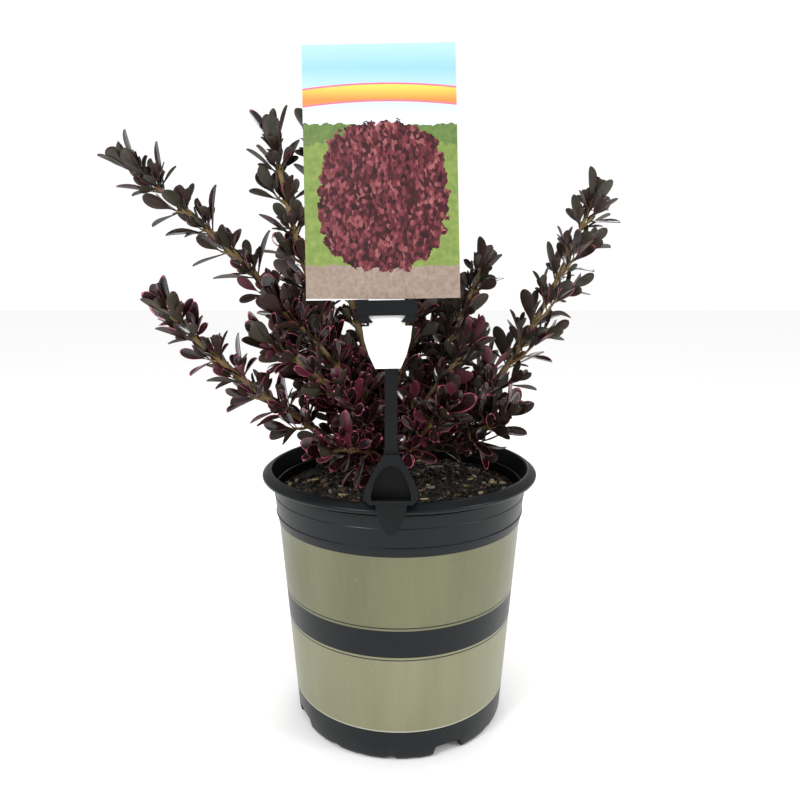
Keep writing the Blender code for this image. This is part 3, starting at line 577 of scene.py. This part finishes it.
def card_finish():
    """A wordless print: pale sky, a warm band, a burgundy hedge on green, and a white back and tail."""
    made = Nodes("card_finish", 0.34, coat=0.15)
    place = card_place(made)
    across, depth, up = made.parts(place)
    low = HEAD_HIGH + 0.001
    level = made.math("DIVIDE", made.math("SUBTRACT", up, low), CARD_HEIGHT)
    sky = made.ramp(level, [(0.70, (0.66, 0.76, 0.80)), (0.90, (0.28, 0.54, 0.78)),
                            (1.0, (0.42, 0.64, 0.80))])
    lawn = made.mix(made.noise(place, 260.0, 4.0), (0.075, 0.15, 0.022), (0.30, 0.38, 0.095))
    trees = made.mix(made.noise(place, 380.0, 5.0, 0.7), (0.030, 0.075, 0.018), (0.20, 0.29, 0.075))
    path = made.mix(made.noise(place, 420.0, 3.0), (0.16, 0.11, 0.08), (0.42, 0.33, 0.27))
    leaf_cells = made.cells(made.mapped(place, scale=(1.0, 1.0, 0.62)), 620.0, "Color")
    shade = made.noise(place, 70.0, 4.0)
    half_shade = made.math("MULTIPLY", shade, 0.5)
    leaf_value = made.math("MULTIPLY_ADD", made.parts(leaf_cells)[0], 0.62, half_shade)
    hedge = made.ramp(leaf_value, [(0.20, (0.012, 0.002, 0.003)), (0.48, (0.060, 0.007, 0.012)),
                                   (0.70, (0.150, 0.022, 0.034)), (0.95, (0.340, 0.110, 0.110))])
    ragged = made.math("MULTIPLY_ADD", made.noise(place, 150.0, 4.0), 0.9, -0.45)
    picture = lawn
    fields = (("GREATER_THAN", 0.12, TREES_LOW, trees), ("GREATER_THAN", 0.06, TREES_HIGH, sky),
              ("LESS_THAN", 0.04, PATH_TOP, path))
    for test, amount, edge, fill in fields:
        uneven = made.math("MULTIPLY_ADD", ragged, amount, level)
        picture = made.mix(made.math(test, uneven, edge), picture, fill)
    offsets = []
    for value, middle, half in zip((across, level), MOUND_MIDDLE, MOUND_HALF):
        offset = made.math("DIVIDE", made.math("SUBTRACT", value, middle), half)
        offsets.append(made.math("POWER", made.math("ABSOLUTE", offset), MOUND_POWER))
    spread = made.math("ADD", *offsets)
    mound = made.math("LESS_THAN", made.math("ADD", spread, ragged), 1.0)
    picture = made.mix(mound, picture, hedge)
    warm = made.ramp(level, [(BAND_LOW, (0.82, 0.25, 0.06)), (0.83, (0.95, 0.62, 0.10))])
    bow = made.math("MULTIPLY", made.math("MULTIPLY", across, across), BAND_BOW)
    bowed = made.math("ADD", level, bow)
    band = made.between(bowed, BAND_LOW, BAND_HIGH)
    picture = made.mix(band, picture, warm)
    rim = made.between(bowed, BAND_LOW - BAND_RIM, BAND_HIGH + BAND_RIM)
    picture = made.mix(made.math("SUBTRACT", rim, band), picture, (0.78, 0.16, 0.26))
    front = made.math("LESS_THAN", depth, -0.0006)
    printed = made.math("MULTIPLY", made.math("GREATER_THAN", up, low), front)
    made.colour(made.mix(printed, (0.86, 0.87, 0.88), picture))
    made.bump(made.noise(place, 60.0, 2.0), 0.12, 0.0008)
    return made.material


# Pot and potting mix


def arc(centre, radii, start, end, count):
    """Points (radius, height) round a quarter or so of an ellipse, angles in degrees."""
    angles = np.radians(np.linspace(start, end, count))
    return [(centre[0] + radii[0] * math.cos(a), centre[1] + radii[1] * math.sin(a)) for a in angles]


def wall_radius(height):
    return WALL_AT_FLOOR + WALL_FLARE * height


def collar_radius(height):
    return COLLAR_RADIUS + COLLAR_FLARE * (height - STEP_HIGH)


def pot_outline():
    """The pot's section up the outside, over the lip and down the inside, with its moulded ridges."""
    lip_low = LIP_EDGE - LIP_THICKNESS
    shelf = FOOT_RADIUS - 0.0022
    inner = WALL_THICKNESS
    wall = [(wall_radius(z), z) for z in np.linspace(0.0040, STEP_LOW, 16)]
    ridge = [(collar_radius(z) + lift, z) for lift, z in (*RIDGES, (0.0001, lip_low - 0.0006))]
    lip = [(LIP_RADIUS - 0.0034, lip_low - 0.0004), (LIP_RADIUS - 0.0012, lip_low)]
    lip += arc((LIP_RADIUS - 0.0012, LIP_EDGE - 0.0006), (0.0012, 0.0016), -80, 70, 7)
    lip += [(LIP_RADIUS - 0.0032, POT_HEIGHT - 0.0012)]
    lip += arc((MOUTH_RADIUS + 0.0012, POT_HEIGHT - 0.0012), (0.0012, 0.0012), 80, 180, 6)
    inside = [(collar_radius(lip_low) - inner, lip_low - 0.0030), (collar_radius(0.176) - inner, 0.1765),
              (collar_radius(0.176) - inner - 0.0007, 0.1760), (collar_radius(STEP_HIGH) - inner, 0.1558),
              (wall_radius(STEP_LOW) - inner, 0.1495), (wall_radius(0.011) - inner, 0.011),
              (PAD_RADIUS + 0.003, 0.011), (PAD_RADIUS - 0.001, 0.002)]
    foot = [(PAD_RADIUS, 0.0), (PAD_RADIUS + 0.004, FLOOR_LIFT), (shelf - 0.001, FLOOR_LIFT), (shelf, 0.0)]
    foot += arc((FOOT_RADIUS - 0.0004, 0.0036), (0.0033, 0.0036), -90, -8, 6)
    return foot + wall + ridge + lip + inside


def foot_lift(angle):
    """Height of the foot's edge over the floor at an angle in degrees from +X."""
    place = (angle - WIDE_NOTCH_ANGLE + QUARTER / 2) % QUARTER - QUARTER / 2
    wide = max(0.0, min(1.0, (WIDE_NOTCH_HALF - abs(place)) / WIDE_NOTCH_EASE))
    lift = WIDE_NOTCH_HEIGHT * wide * (1.0 - 0.10 * (place / 8.0) ** 2)
    past = (angle - WIDE_NOTCH_ANGLE) % QUARTER
    for spot, height in SMALL_NOTCHES:
        lift = max(lift, height * max(0.0, min(1.0, SMALL_NOTCH_HALF - abs(past - spot))))
    return lift


def make_pot():
    outline = pot_outline()
    angles = 360.0 * np.arange(POT_STEPS) / POT_STEPS
    lifts = np.array([foot_lift(a) for a in angles])
    rings = []
    for number, (radius, height) in enumerate(outline):
        level = np.full(POT_STEPS, height)
        if number in FOOT_POINTS and height < FLOOR_LIFT:
            level = np.maximum(level, lifts + height * 0.15)
        turn = np.radians(angles)
        rings.append(np.stack((radius * np.cos(turn), radius * np.sin(turn), level), 1))
    corners, sizes = ring_faces(len(outline), POT_STEPS)
    heap = Heap()
    heap.add(np.concatenate(rings), corners, sizes, np.zeros(len(sizes)))
    pot = heap.mesh_object("pot_shell", [pot_finish()], sharp=32)
    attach(pot, "root")
    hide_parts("pot")


def soil_height(x, y):
    radius = np.hypot(x, y)
    lumps = np.sin(x * 290 + 1.3) * np.sin(y * 260 + 0.4) + 0.7 * np.sin(x * 610 + y * 420)
    calm = np.clip((radius - 0.012) / 0.02, 0.0, 1.0)
    return SOIL_TOP - SOIL_SINK * (radius / MOUTH_RADIUS) ** 2 + (lumps * 0.0007 - 0.0009) * calm


def add_chip(heap, chance, centre, size, tilt, finish):
    """A broken flake of bark: a six-sided sliver with a rough outline."""
    turn = chance.uniform(0, 2 * math.pi)
    along = np.array((math.cos(turn), math.sin(turn), 0.0))
    side = np.array((-math.sin(turn), math.cos(turn), 0.0))
    along = unit(along + UP * chance.uniform(-tilt, tilt))
    side = unit(side + UP * chance.uniform(-tilt, tilt))
    top = np.cross(along, side)
    low = []
    high = []
    for a, b in CHIP_OUTLINE:
        a = a * chance.uniform(0.75, 1.15)
        b = b * chance.uniform(0.75, 1.15)
        spot = centre + along * (a * size[0]) + side * (b * size[1])
        low.append(spot - top * size[2] * 0.5)
        high.append(spot + top * size[2] * chance.uniform(0.25, 0.6))
    corners, sizes = ring_faces(2, len(CHIP_OUTLINE))
    heap.add(low + high, corners, sizes, np.full(len(sizes), finish))


def make_soil():
    """The bed of fine mix and the flakes of bark that lie on it."""
    brim = collar_radius(SOIL_TOP) - WALL_THICKNESS - GAP
    heap = Heap()
    turn = 2 * math.pi * np.arange(SOIL_STEPS) / SOIL_STEPS
    rings = []
    for radius in np.linspace(0.0015, brim, SOIL_RINGS):
        x, y = radius * np.cos(turn), radius * np.sin(turn)
        rings.append(np.stack((x, y, soil_height(x, y)), 1))
    for radius, level in ((brim - 0.0012, 0.160), (wall_radius(0.012) - 0.0025, 0.012)):
        rings.append(np.stack((radius * np.cos(turn), radius * np.sin(turn), np.full(SOIL_STEPS, level)), 1))
    corners, sizes = ring_faces(len(rings), SOIL_STEPS)
    faces = np.split(np.array(corners), np.cumsum(sizes)[:-1])
    flipped = np.concatenate([face[::-1] for face in faces])
    heap.add(np.concatenate(rings), flipped, sizes, np.zeros(len(sizes)))
    bed = mottled("bed_finish", (0.003, 0.0025, 0.002), (0.018, 0.012, 0.009), 260.0, 0.9, bump=0.0012)
    soil = heap.mesh_object("soil_bed", [bed], sharp=70)
    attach(soil, "root")
    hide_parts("soil")

    chance = random.Random(5)
    chips = Heap()
    for _ in range(CHIPS):
        radius = (brim - 0.004) * math.sqrt(chance.random())
        angle = chance.uniform(0, 2 * math.pi)
        x, y = radius * math.cos(angle), radius * math.sin(angle)
        if math.hypot(x - TRUNK_FOOT[0], y - TRUNK_FOOT[1]) < TRUNK_CLEARANCE:
            continue
        big = chance.random() ** 3
        long = 0.0016 + 0.0100 * big * chance.uniform(0.5, 1.0)
        long = min(long, (brim - 0.0008 - radius) * 1.7)
        size = (long, long * chance.uniform(0.25, 0.65), 0.0008 + long * 0.12)
        centre = np.array((x, y, float(soil_height(x, y)) + chance.uniform(0.0, 0.0014)))
        finish = chance.choices(range(len(CHIP_TONES)), CHIP_SHARES)[0]
        add_chip(chips, chance, centre, size, 0.45 if big < 0.4 else 0.22, finish)
    finishes = [mottled("chip_finish_%d" % number, dark, light, 500.0, 0.85, bump=0.0005)
                for number, (dark, light) in enumerate(CHIP_TONES)]
    flakes = chips.mesh_object("bark_flakes", finishes)
    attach(flakes, "root")


# Wood


def make_wood():
    """Trunk, boughs and stems with bark relief and swollen nodes, in one mesh."""
    heap = Heap()
    shares = np.linspace(0.0, 1.0, TRUNK_RINGS)
    axis = [TRUNK_FOOT + (TRUNK_TOP - TRUNK_FOOT) * s for s in shares]
    height = (TRUNK_TOP - TRUNK_FOOT)[2]
    radii = [TRUNK_RADIUS + (TRUNK_TOP_RADIUS - TRUNK_RADIUS) * s
             + TRUNK_FLARE * math.exp(-s * height / TRUNK_FLARE_HEIGHT) for s in shares]
    radii[-1] *= 0.72
    add_tube(heap, axis, radii, TRUNK_SIDES, np.full(len(axis), OLD_WOOD), 0.06, 3,
             [UP] * len(axis))
    for limb in LIMBS:
        length = limb_length(limb, 0.0)
        leafy = limb_length(limb, limb.leafy)
        knots = list(node_distances(leafy))
        count = max(30, int(length / RING_GAP))
        shares = np.linspace(0.0, 1.0, count)
        points = [limb_point(limb, s) for s in shares]
        tangents = [limb_tangent(limb, s) for s in shares]
        radii = []
        for s in shares:
            from_tip = (1.0 - s) * length
            swell = sum(math.exp(-((from_tip - knot) / KNOT_WIDTH) ** 2) for knot in knots)
            radii.append(limb_radius(limb, s) * (1.0 + KNOT_SWELL * min(swell, 1.0)))
        youth = np.clip((shares - YOUTH_START) / YOUTH_SPAN, 0.0, 1.0)
        add_tube(heap, points, radii, BARK_SIDES, youth, 0.055, limb.seed, tangents)
    wood = heap.mesh_object("bark_limbs", [bark_finish()], sharp=55, value_name="youth")
    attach(wood, "root")
    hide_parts("trunk", *("bough_" + limb.name for limb in LIMBS))


# Leaves

Leaf = namedtuple("Leaf", "base direction normal length width curl fold spray")


def leaf_at(base, frame, azimuth, angle, length, offset, chance, spray, lift=LEAF_LIFT):
    """A leaf that stands off its stem by an angle and turns up a little."""
    tangent, side, other = frame
    outward = side * math.cos(azimuth) + other * math.sin(azimuth)
    base = base + outward * offset
    direction = unit(tangent * math.cos(angle) + outward * math.sin(angle) + UP * lift)
    normal = tangent - direction * (tangent @ direction)
    if np.linalg.norm(normal) < 0.05:
        normal = outward - direction * (outward @ direction)
    normal = unit(unit(normal) + np.cross(direction, unit(normal)) * chance.uniform(-0.45, 0.45))
    width = LEAF_WIDTH_RATIO * chance.uniform(0.86, 1.12)
    return Leaf(base, direction, normal, length, width, chance.uniform(-0.02, 0.10),
                chance.uniform(0.04, 0.26), spray)


def clear_of_label(point):
    """Whether a point lies clear of the card, the stem and the scoop, in the clip's own plane."""
    lean = math.radians(CLIP_LEAN)
    x, y, z = point - CLIP_FOOT
    depth = y * math.cos(lean) - z * math.sin(lean)
    up = y * math.sin(lean) + z * math.cos(lean)
    if up < STEM_LOW or up > HEAD_HIGH + CARD_HEIGHT + END_ROOM:
        return True
    if up > HEAD_LOW - END_ROOM:
        return abs(x + CARD_ASIDE) > CARD_WIDTH / 2 + CARD_ROOM[0] or depth > CARD_ROOM[1]
    if up > SCOOP_HEIGHT:
        return abs(x) > STEM_ROOM[0] or depth > STEM_ROOM[1]
    return abs(x) > SCOOP_ROOM[0] or depth > SCOOP_ROOM[1]


def clear_of_pot(point):
    """Whether a point lies over the mix, over the lip, or outside the pot above its collar."""
    radius = math.hypot(point[0], point[1])
    if radius < MOUTH_RADIUS - 0.003:
        return point[2] > SOIL_TOP + 0.0015
    if radius < LIP_RADIUS + 0.002:
        return point[2] > POT_HEIGHT + 0.0015
    return point[2] > STEP_HIGH


def add_spur(base, frame, azimuth, angle, reach, pairs, size, chance, twigs, leaves, spray):
    """A short side shoot with crowded crossed pairs of small leaves, each pair smaller than the last."""
    tangent, side, other = frame
    outward = side * math.cos(azimuth) + other * math.sin(azimuth)
    first = unit(tangent * math.cos(angle) + outward * math.sin(angle))
    second = unit(first + UP * TWIG_LIFT)
    middle = base + first * (reach * 0.5)
    tip = middle + second * (reach * 0.5)
    if not (clear_of_label(tip) and clear_of_pot(tip)):
        return
    thick = min(TWIG_RADIUS, 0.0006 + reach * 0.03)
    twigs.append(([base, middle, tip], [thick * 1.15, thick, thick * 0.75]))
    frames = path_frames([first, unit(first + second), second])
    for number in range(pairs):
        share = 1.0 - 0.62 * number / max(pairs, 1)
        spot = bend(base, middle, tip, share)
        frame_here = frames[2] if share > 0.7 else frames[1]
        spread = math.radians(22.0 + 20.0 * number)
        for flip in (0, 1):
            turn = azimuth + math.radians(90 + 90 * number + 180 * flip + chance.uniform(-14, 14))
            length = size * chance.uniform(0.78, 1.08) * (1.0 + 0.10 * number)
            leaves.append(leaf_at(spot, frame_here, turn, spread, length, thick * 0.6, chance, spray))


def add_inner_sprays(limb, chance, twigs, leaves):
    """Small leafy side shoots on the bare bough, from a third of its length up to where its mass begins."""
    bare = limb_length(limb, 0.0) - limb_length(limb, limb.leafy)
    count = max(2, int(bare / INNER_GAP))
    shares = [limb.leafy * (0.30 + 0.70 * (number + 0.5) / count) for number in range(count)]
    frames = path_frames([limb_tangent(limb, share) for share in shares])
    for number, (share, frame) in enumerate(zip(shares, frames)):
        base = limb_point(limb, share)
        spray = chance.random()
        for flip in (0, 1):
            azimuth = math.radians(limb.phase + 90 * number + 180 * flip + chance.uniform(-25, 25))
            reach = chance.uniform(0.010, 0.020)
            add_spur(base, frame, azimuth, math.radians(INNER_ANGLE), reach, 3, INNER_LEAF, chance,
                     twigs, leaves, spray)


def grow_shoot(limb):
    """The source's rule for one shoot, carried on to side shoots and clusters in the axils."""
    chance = random.Random(limb.seed)
    finer = random.Random(limb.seed + 100)
    length = limb_length(limb, limb.leafy)
    fine = [limb.leafy + (1.0 - limb.leafy) * step / SHOOT_STEPS for step in range(SHOOT_STEPS + 1)]
    frames = path_frames([limb_tangent(limb, share) for share in fine])
    twigs = []
    leaves = []
    for number, distance in enumerate(node_distances(length - 0.008)):
        place = round((1.0 - distance / length) * SHOOT_STEPS)
        base, frame = limb_point(limb, fine[place]), frames[place]
        thick = limb_radius(limb, fine[place])
        young = math.exp(-distance / 0.018)
        angle = math.radians(LEAF_ANGLE + (TIP_LEAF_ANGLE - LEAF_ANGLE) * young)
        spray = finer.random()
        for flip in (0, 1):
            azimuth = math.radians(limb.phase + 90 * number + 180 * flip + chance.uniform(-14, 14))
            size = LEAF_LENGTH * chance.uniform(0.86, 1.06) * (1.0 - 0.12 * young)
            wobble = chance.uniform(-0.12, 0.12)
            leaves.append(leaf_at(base, frame, azimuth, angle + wobble, size, thick * 0.7, finer, spray))
            if number > 0:
                reach = finer.uniform(0.004, 0.009)
                add_spur(base, frame, azimuth + finer.uniform(-0.3, 0.3), math.radians(SPUR_ANGLE), reach,
                         finer.choice((2, 2, 3)), SPUR_LEAF, finer, twigs, leaves, spray)
        if number == 0:
            for turn in (45, 135, 225, 315):
                azimuth = math.radians(limb.phase + turn + finer.uniform(-20, 20))
                size = LEAF_LENGTH * finer.uniform(0.58, 0.82)
                leaves.append(leaf_at(base, frame, azimuth, 0.26, size, 0.0, finer, spray))
        if number < 2:
            continue
        azimuth = math.radians(limb.phase + 90 * number + 90 + 180 * (number // 2 % 2)
                               + chance.uniform(-9, 9))
        reach = limb.reach * MM * (0.45 + 0.55 * distance / length) * chance.uniform(0.8, 1.1)
        pairs = 2 if reach < 0.012 else 3
        add_spur(base, frame, azimuth, math.radians(TWIG_ANGLE), reach, pairs, TWIG_LEAF, finer,
                 twigs, leaves, spray)
        add_spur(base, frame, azimuth + math.pi, math.radians(TWIG_ANGLE), reach * 0.55, 2,
                 SHORT_TWIG_LEAF, finer, twigs, leaves, finer.random())
    add_inner_sprays(limb, finer, twigs, leaves)
    kept = []
    for leaf in leaves:
        tip = leaf.base + leaf.direction * leaf.length
        middle = leaf.base + leaf.direction * (leaf.length * 0.55)
        if all(clear_of_label(p) and clear_of_pot(p) for p in (tip, middle)):
            kept.append(leaf)
    return twigs, kept


def leaf_template():
    """Stations, columns and faces of one closed leaf: an upper side with a margin, and an underside."""
    along = []
    across = []
    depth = []
    for station, width in zip(LEAF_STATIONS, LEAF_WIDTHS):
        for column in LEAF_COLUMNS:
            along.append(station)
            across.append(column * width)
            depth.append(0.0)
    upper = len(LEAF_COLUMNS)
    first_keel = len(along)
    for station in LEAF_STATIONS:
        along.append(station)
        across.append(0.0)
        depth.append(-1.0)
    faces = []
    kinds = []
    rows = len(LEAF_STATIONS)
    for row in range(rows - 1):
        for column in range(upper - 1):
            a = row * upper + column
            faces.append((a, a + 1, a + 1 + upper, a + upper))
            kinds.append(1 if column in (0, upper - 2) or row == rows - 2 else 0)
    for row in range(rows - 1):
        left, right = row * upper, row * upper + upper - 1
        keel = first_keel + row
        faces.append((left, left + upper, keel + 1, keel))
        faces.append((keel, keel + 1, right + upper, right))
        kinds += [2, 2]
    tip = (rows - 1) * upper
    faces.append((*range(tip, tip + upper), first_keel + rows - 1))
    faces.append((*range(upper - 1, -1, -1), first_keel))
    kinds += [1, 2]
    return np.array(along), np.array(across), np.array(depth), faces, np.array(kinds)


def leaf_finishes():
    """Upper sides, margins and undersides, each in a few tones that are dealt out by spray."""
    upper = [mottled("leaf_black", (0.0020, 0.0012, 0.0015), (0.0080, 0.0038, 0.0045), 160.0, 0.18, 0.5),
             mottled("leaf_wine", (0.0075, 0.0018, 0.0028), (0.0240, 0.0055, 0.0085), 160.0, 0.20, 0.5),
             mottled("leaf_umber", (0.0085, 0.0052, 0.0036), (0.0240, 0.0135, 0.0090), 160.0, 0.22, 0.4),
             mottled("leaf_claret", (0.0600, 0.0080, 0.0200), (0.1500, 0.0240, 0.0480), 160.0, 0.32, 0.2)]
    margin = [mottled("margin_dark", (0.030, 0.010, 0.014), (0.095, 0.030, 0.040), 200.0, 0.35),
              mottled("margin_rose", (0.210, 0.038, 0.060), (0.420, 0.085, 0.125), 200.0, 0.35),
              mottled("margin_pink", (0.420, 0.080, 0.130), (0.640, 0.190, 0.250), 200.0, 0.35)]
    under = [mottled("underside_olive", (0.020, 0.017, 0.010), (0.060, 0.050, 0.030), 220.0, 0.48),
             mottled("underside_brown", (0.024, 0.012, 0.009), (0.062, 0.034, 0.025), 220.0, 0.48),
             mottled("underside_wine", (0.070, 0.014, 0.024), (0.170, 0.045, 0.065), 220.0, 0.48)]
    return upper, margin, under


def pinkness(leaf):
    """Inner and lower leaves of the left and middle have wide pink margins; outer right ones hardly any."""
    middle = leaf.base + leaf.direction * (leaf.length * 0.5)
    low = float(np.clip((0.370 - middle[2]) / 0.11, 0.0, 1.0))
    left = float(np.clip((0.045 - middle[0]) / 0.08, 0.25, 1.0))
    return low * left


def pick_tones(leaf, chance):
    """Indices of the upper, margin and underside tones of one leaf."""
    pink = pinkness(leaf)
    draw = 0.65 * leaf.spray + 0.35 * chance.random()
    right = leaf.base[0] > 0.03
    if chance.random() < 0.16 * pink:
        upper = CLARET
    elif draw < 0.50 - 0.15 * pink:
        upper = UMBER if right and chance.random() < 0.6 else BLACK
    else:
        upper = UMBER if draw > 0.86 or (right and draw > 0.6) else WINE
    rosy = chance.random()
    margin = PINK_EDGE if rosy < 0.42 * pink else ROSE_EDGE if rosy < 0.42 + 0.5 * pink else DARK_EDGE
    if chance.random() < 0.22 * pink:
        under = WINE_BACK
    else:
        under = OLIVE_BACK if chance.random() < 0.6 else BROWN_BACK
    return upper, margin, under


def make_leaves():
    """Every leaf and twig of the crown: the leaves joined into pieces by the side of the crown they grow on,
    the twigs into one piece.
    """
    along, across, depth, faces, kinds = leaf_template()
    corners = np.concatenate([np.array(face) for face in faces])
    sizes = np.array([len(face) for face in faces])
    upper, margin, under = leaf_finishes()
    groups = {"left": ("upper_left", "lower_left", "inner_left", "middle_left", "front_left", "near_left"),
              "middle": ("upright_left", "upright", "centre", "high_back_left", "high_back_right"),
              "right": ("right", "inner_right", "middle_right", "near_right", "low_right", "front_right"),
              "back": ("back_left", "back_right", "back_low_left", "back_low_right", "back_middle")}
    twig_heap = Heap()
    for group, names in groups.items():
        heap = Heap()
        for name in names:
            limb = BY_NAME[name]
            chance = random.Random(limb.seed + 500)
            twigs, leaves = grow_shoot(limb)
            for number, (points, radii) in enumerate(twigs):
                add_tube(twig_heap, points, radii, TWIG_SIDES, np.full(len(points), TWIG_YOUTH), 0.04,
                         number)
            for leaf in leaves:
                tones = pick_tones(leaf, chance)
                side = np.cross(leaf.direction, leaf.normal)
                half = leaf.length * leaf.width / 2
                rise = leaf.length * (leaf.fold * FOLD_RISE * across ** 2
                                      - leaf.curl * along ** 2 * CURL_DROP)
                rise = rise + depth * (LEAF_THICKNESS + leaf.length * KEEL_SHARE)
                twist = chance.uniform(-TWIST, TWIST) * along
                cos, sin = np.cos(twist), np.sin(twist)
                wide = across * half
                points = (leaf.base + np.outer(along * leaf.length, leaf.direction)
                          + np.outer(wide * cos - rise * sin, side)
                          + np.outer(rise * cos + wide * sin, leaf.normal))
                heap.add(points, corners, sizes, np.array(tones)[kinds])
        piece = heap.mesh_object("leaves_" + group, upper + margin + under, sharp=70)
        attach(piece, "root")
        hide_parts(*("foliage_" + name for name in names))
    twig_piece = twig_heap.mesh_object("twigs", [bark_finish()], sharp=60, value_name="youth")
    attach(twig_piece, "root")


# Label


def finish_label():
    for node, material in (("label_clip", clip_finish()), ("label_card", card_finish())):
        item = frame["nodes"][node]
        item.data.materials.clear()
        item.data.materials.append(material)


# Stage


def area_light(name, place, aim, size, power):
    light = bpy.data.lights.new(name, "AREA")
    light.size = size
    light.energy = power
    item = bpy.data.objects.new(name, light)
    item.location = place
    direction = np.array(aim) - np.array(place)
    item.rotation_euler = Vector(direction).to_track_quat("-Z", "Y").to_euler()
    bpy.context.scene.collection.objects.link(item)


def make_studio_light():
    """Even white light all round, held back in reflections so that dark gloss stays dark."""
    world = bpy.data.worlds.new("studio")
    world.use_nodes = True
    tree = world.node_tree
    ray = tree.nodes.new("ShaderNodeLightPath")
    soft = tree.nodes.new("ShaderNodeMapRange")
    soft.inputs["To Min"].default_value = DIFFUSE_LIGHT
    soft.inputs["To Max"].default_value = GLOSS_LIGHT
    tree.links.new(ray.outputs["Is Glossy Ray"], soft.inputs["Value"])
    seen = tree.nodes.new("ShaderNodeMath")
    seen.operation = "MAXIMUM"
    tree.links.new(soft.outputs["Result"], seen.inputs[0])
    tree.links.new(ray.outputs["Is Camera Ray"], seen.inputs[1])
    background = tree.nodes["Background"]
    background.inputs["Color"].default_value = (1.0, 1.0, 1.0, 1.0)
    tree.links.new(seen.outputs[0], background.inputs["Strength"])
    bpy.context.scene.world = world


def make_stage():
    """A plain pale floor, soft light all round, three soft boxes and the photograph's camera."""
    floor_heap = Heap()
    reach = FLOOR_REACH
    floor_heap.add([(-reach, -reach, 0), (reach, -reach, 0), (reach, reach, 0), (-reach, reach, 0)],
                   [0, 1, 2, 3], [4], [0])
    floor_finish = mottled("floor_finish", grey(0.94), grey(0.95), 2.0, 0.9, bump=0.0)
    floor = floor_heap.mesh_object("floor", [floor_finish])
    floor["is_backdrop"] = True
    make_studio_light()
    for lamp in LAMPS:
        area_light(*lamp)
    camera = bpy.data.cameras.new("camera")
    camera.sensor_width = SENSOR_WIDTH
    camera.lens = SENSOR_WIDTH * FOCAL_PIXELS / IMAGE_SIZE
    camera.shift_x = (IMAGE_SIZE / 2 - MIDDLE_COLUMN) / IMAGE_SIZE
    camera.clip_start = NEAR_LIMIT
    item = bpy.data.objects.new("camera", camera)
    item.location = CAMERA_PLACE
    item.rotation_euler = (math.radians(90.0 - CAMERA_PITCH), 0.0, 0.0)
    bpy.context.scene.collection.objects.link(item)
    bpy.context.scene.camera = item
    bpy.context.scene.view_settings.view_transform = "Standard"


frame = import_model()
cad_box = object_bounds()
make_pot()
make_soil()
make_wood()
make_leaves()
finish_label()
make_stage()
seen_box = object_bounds()
boxes = {"cad": cad_box, "visual": seen_box}
{name: [list(corner) for corner in box] for name, box in boxes.items()}
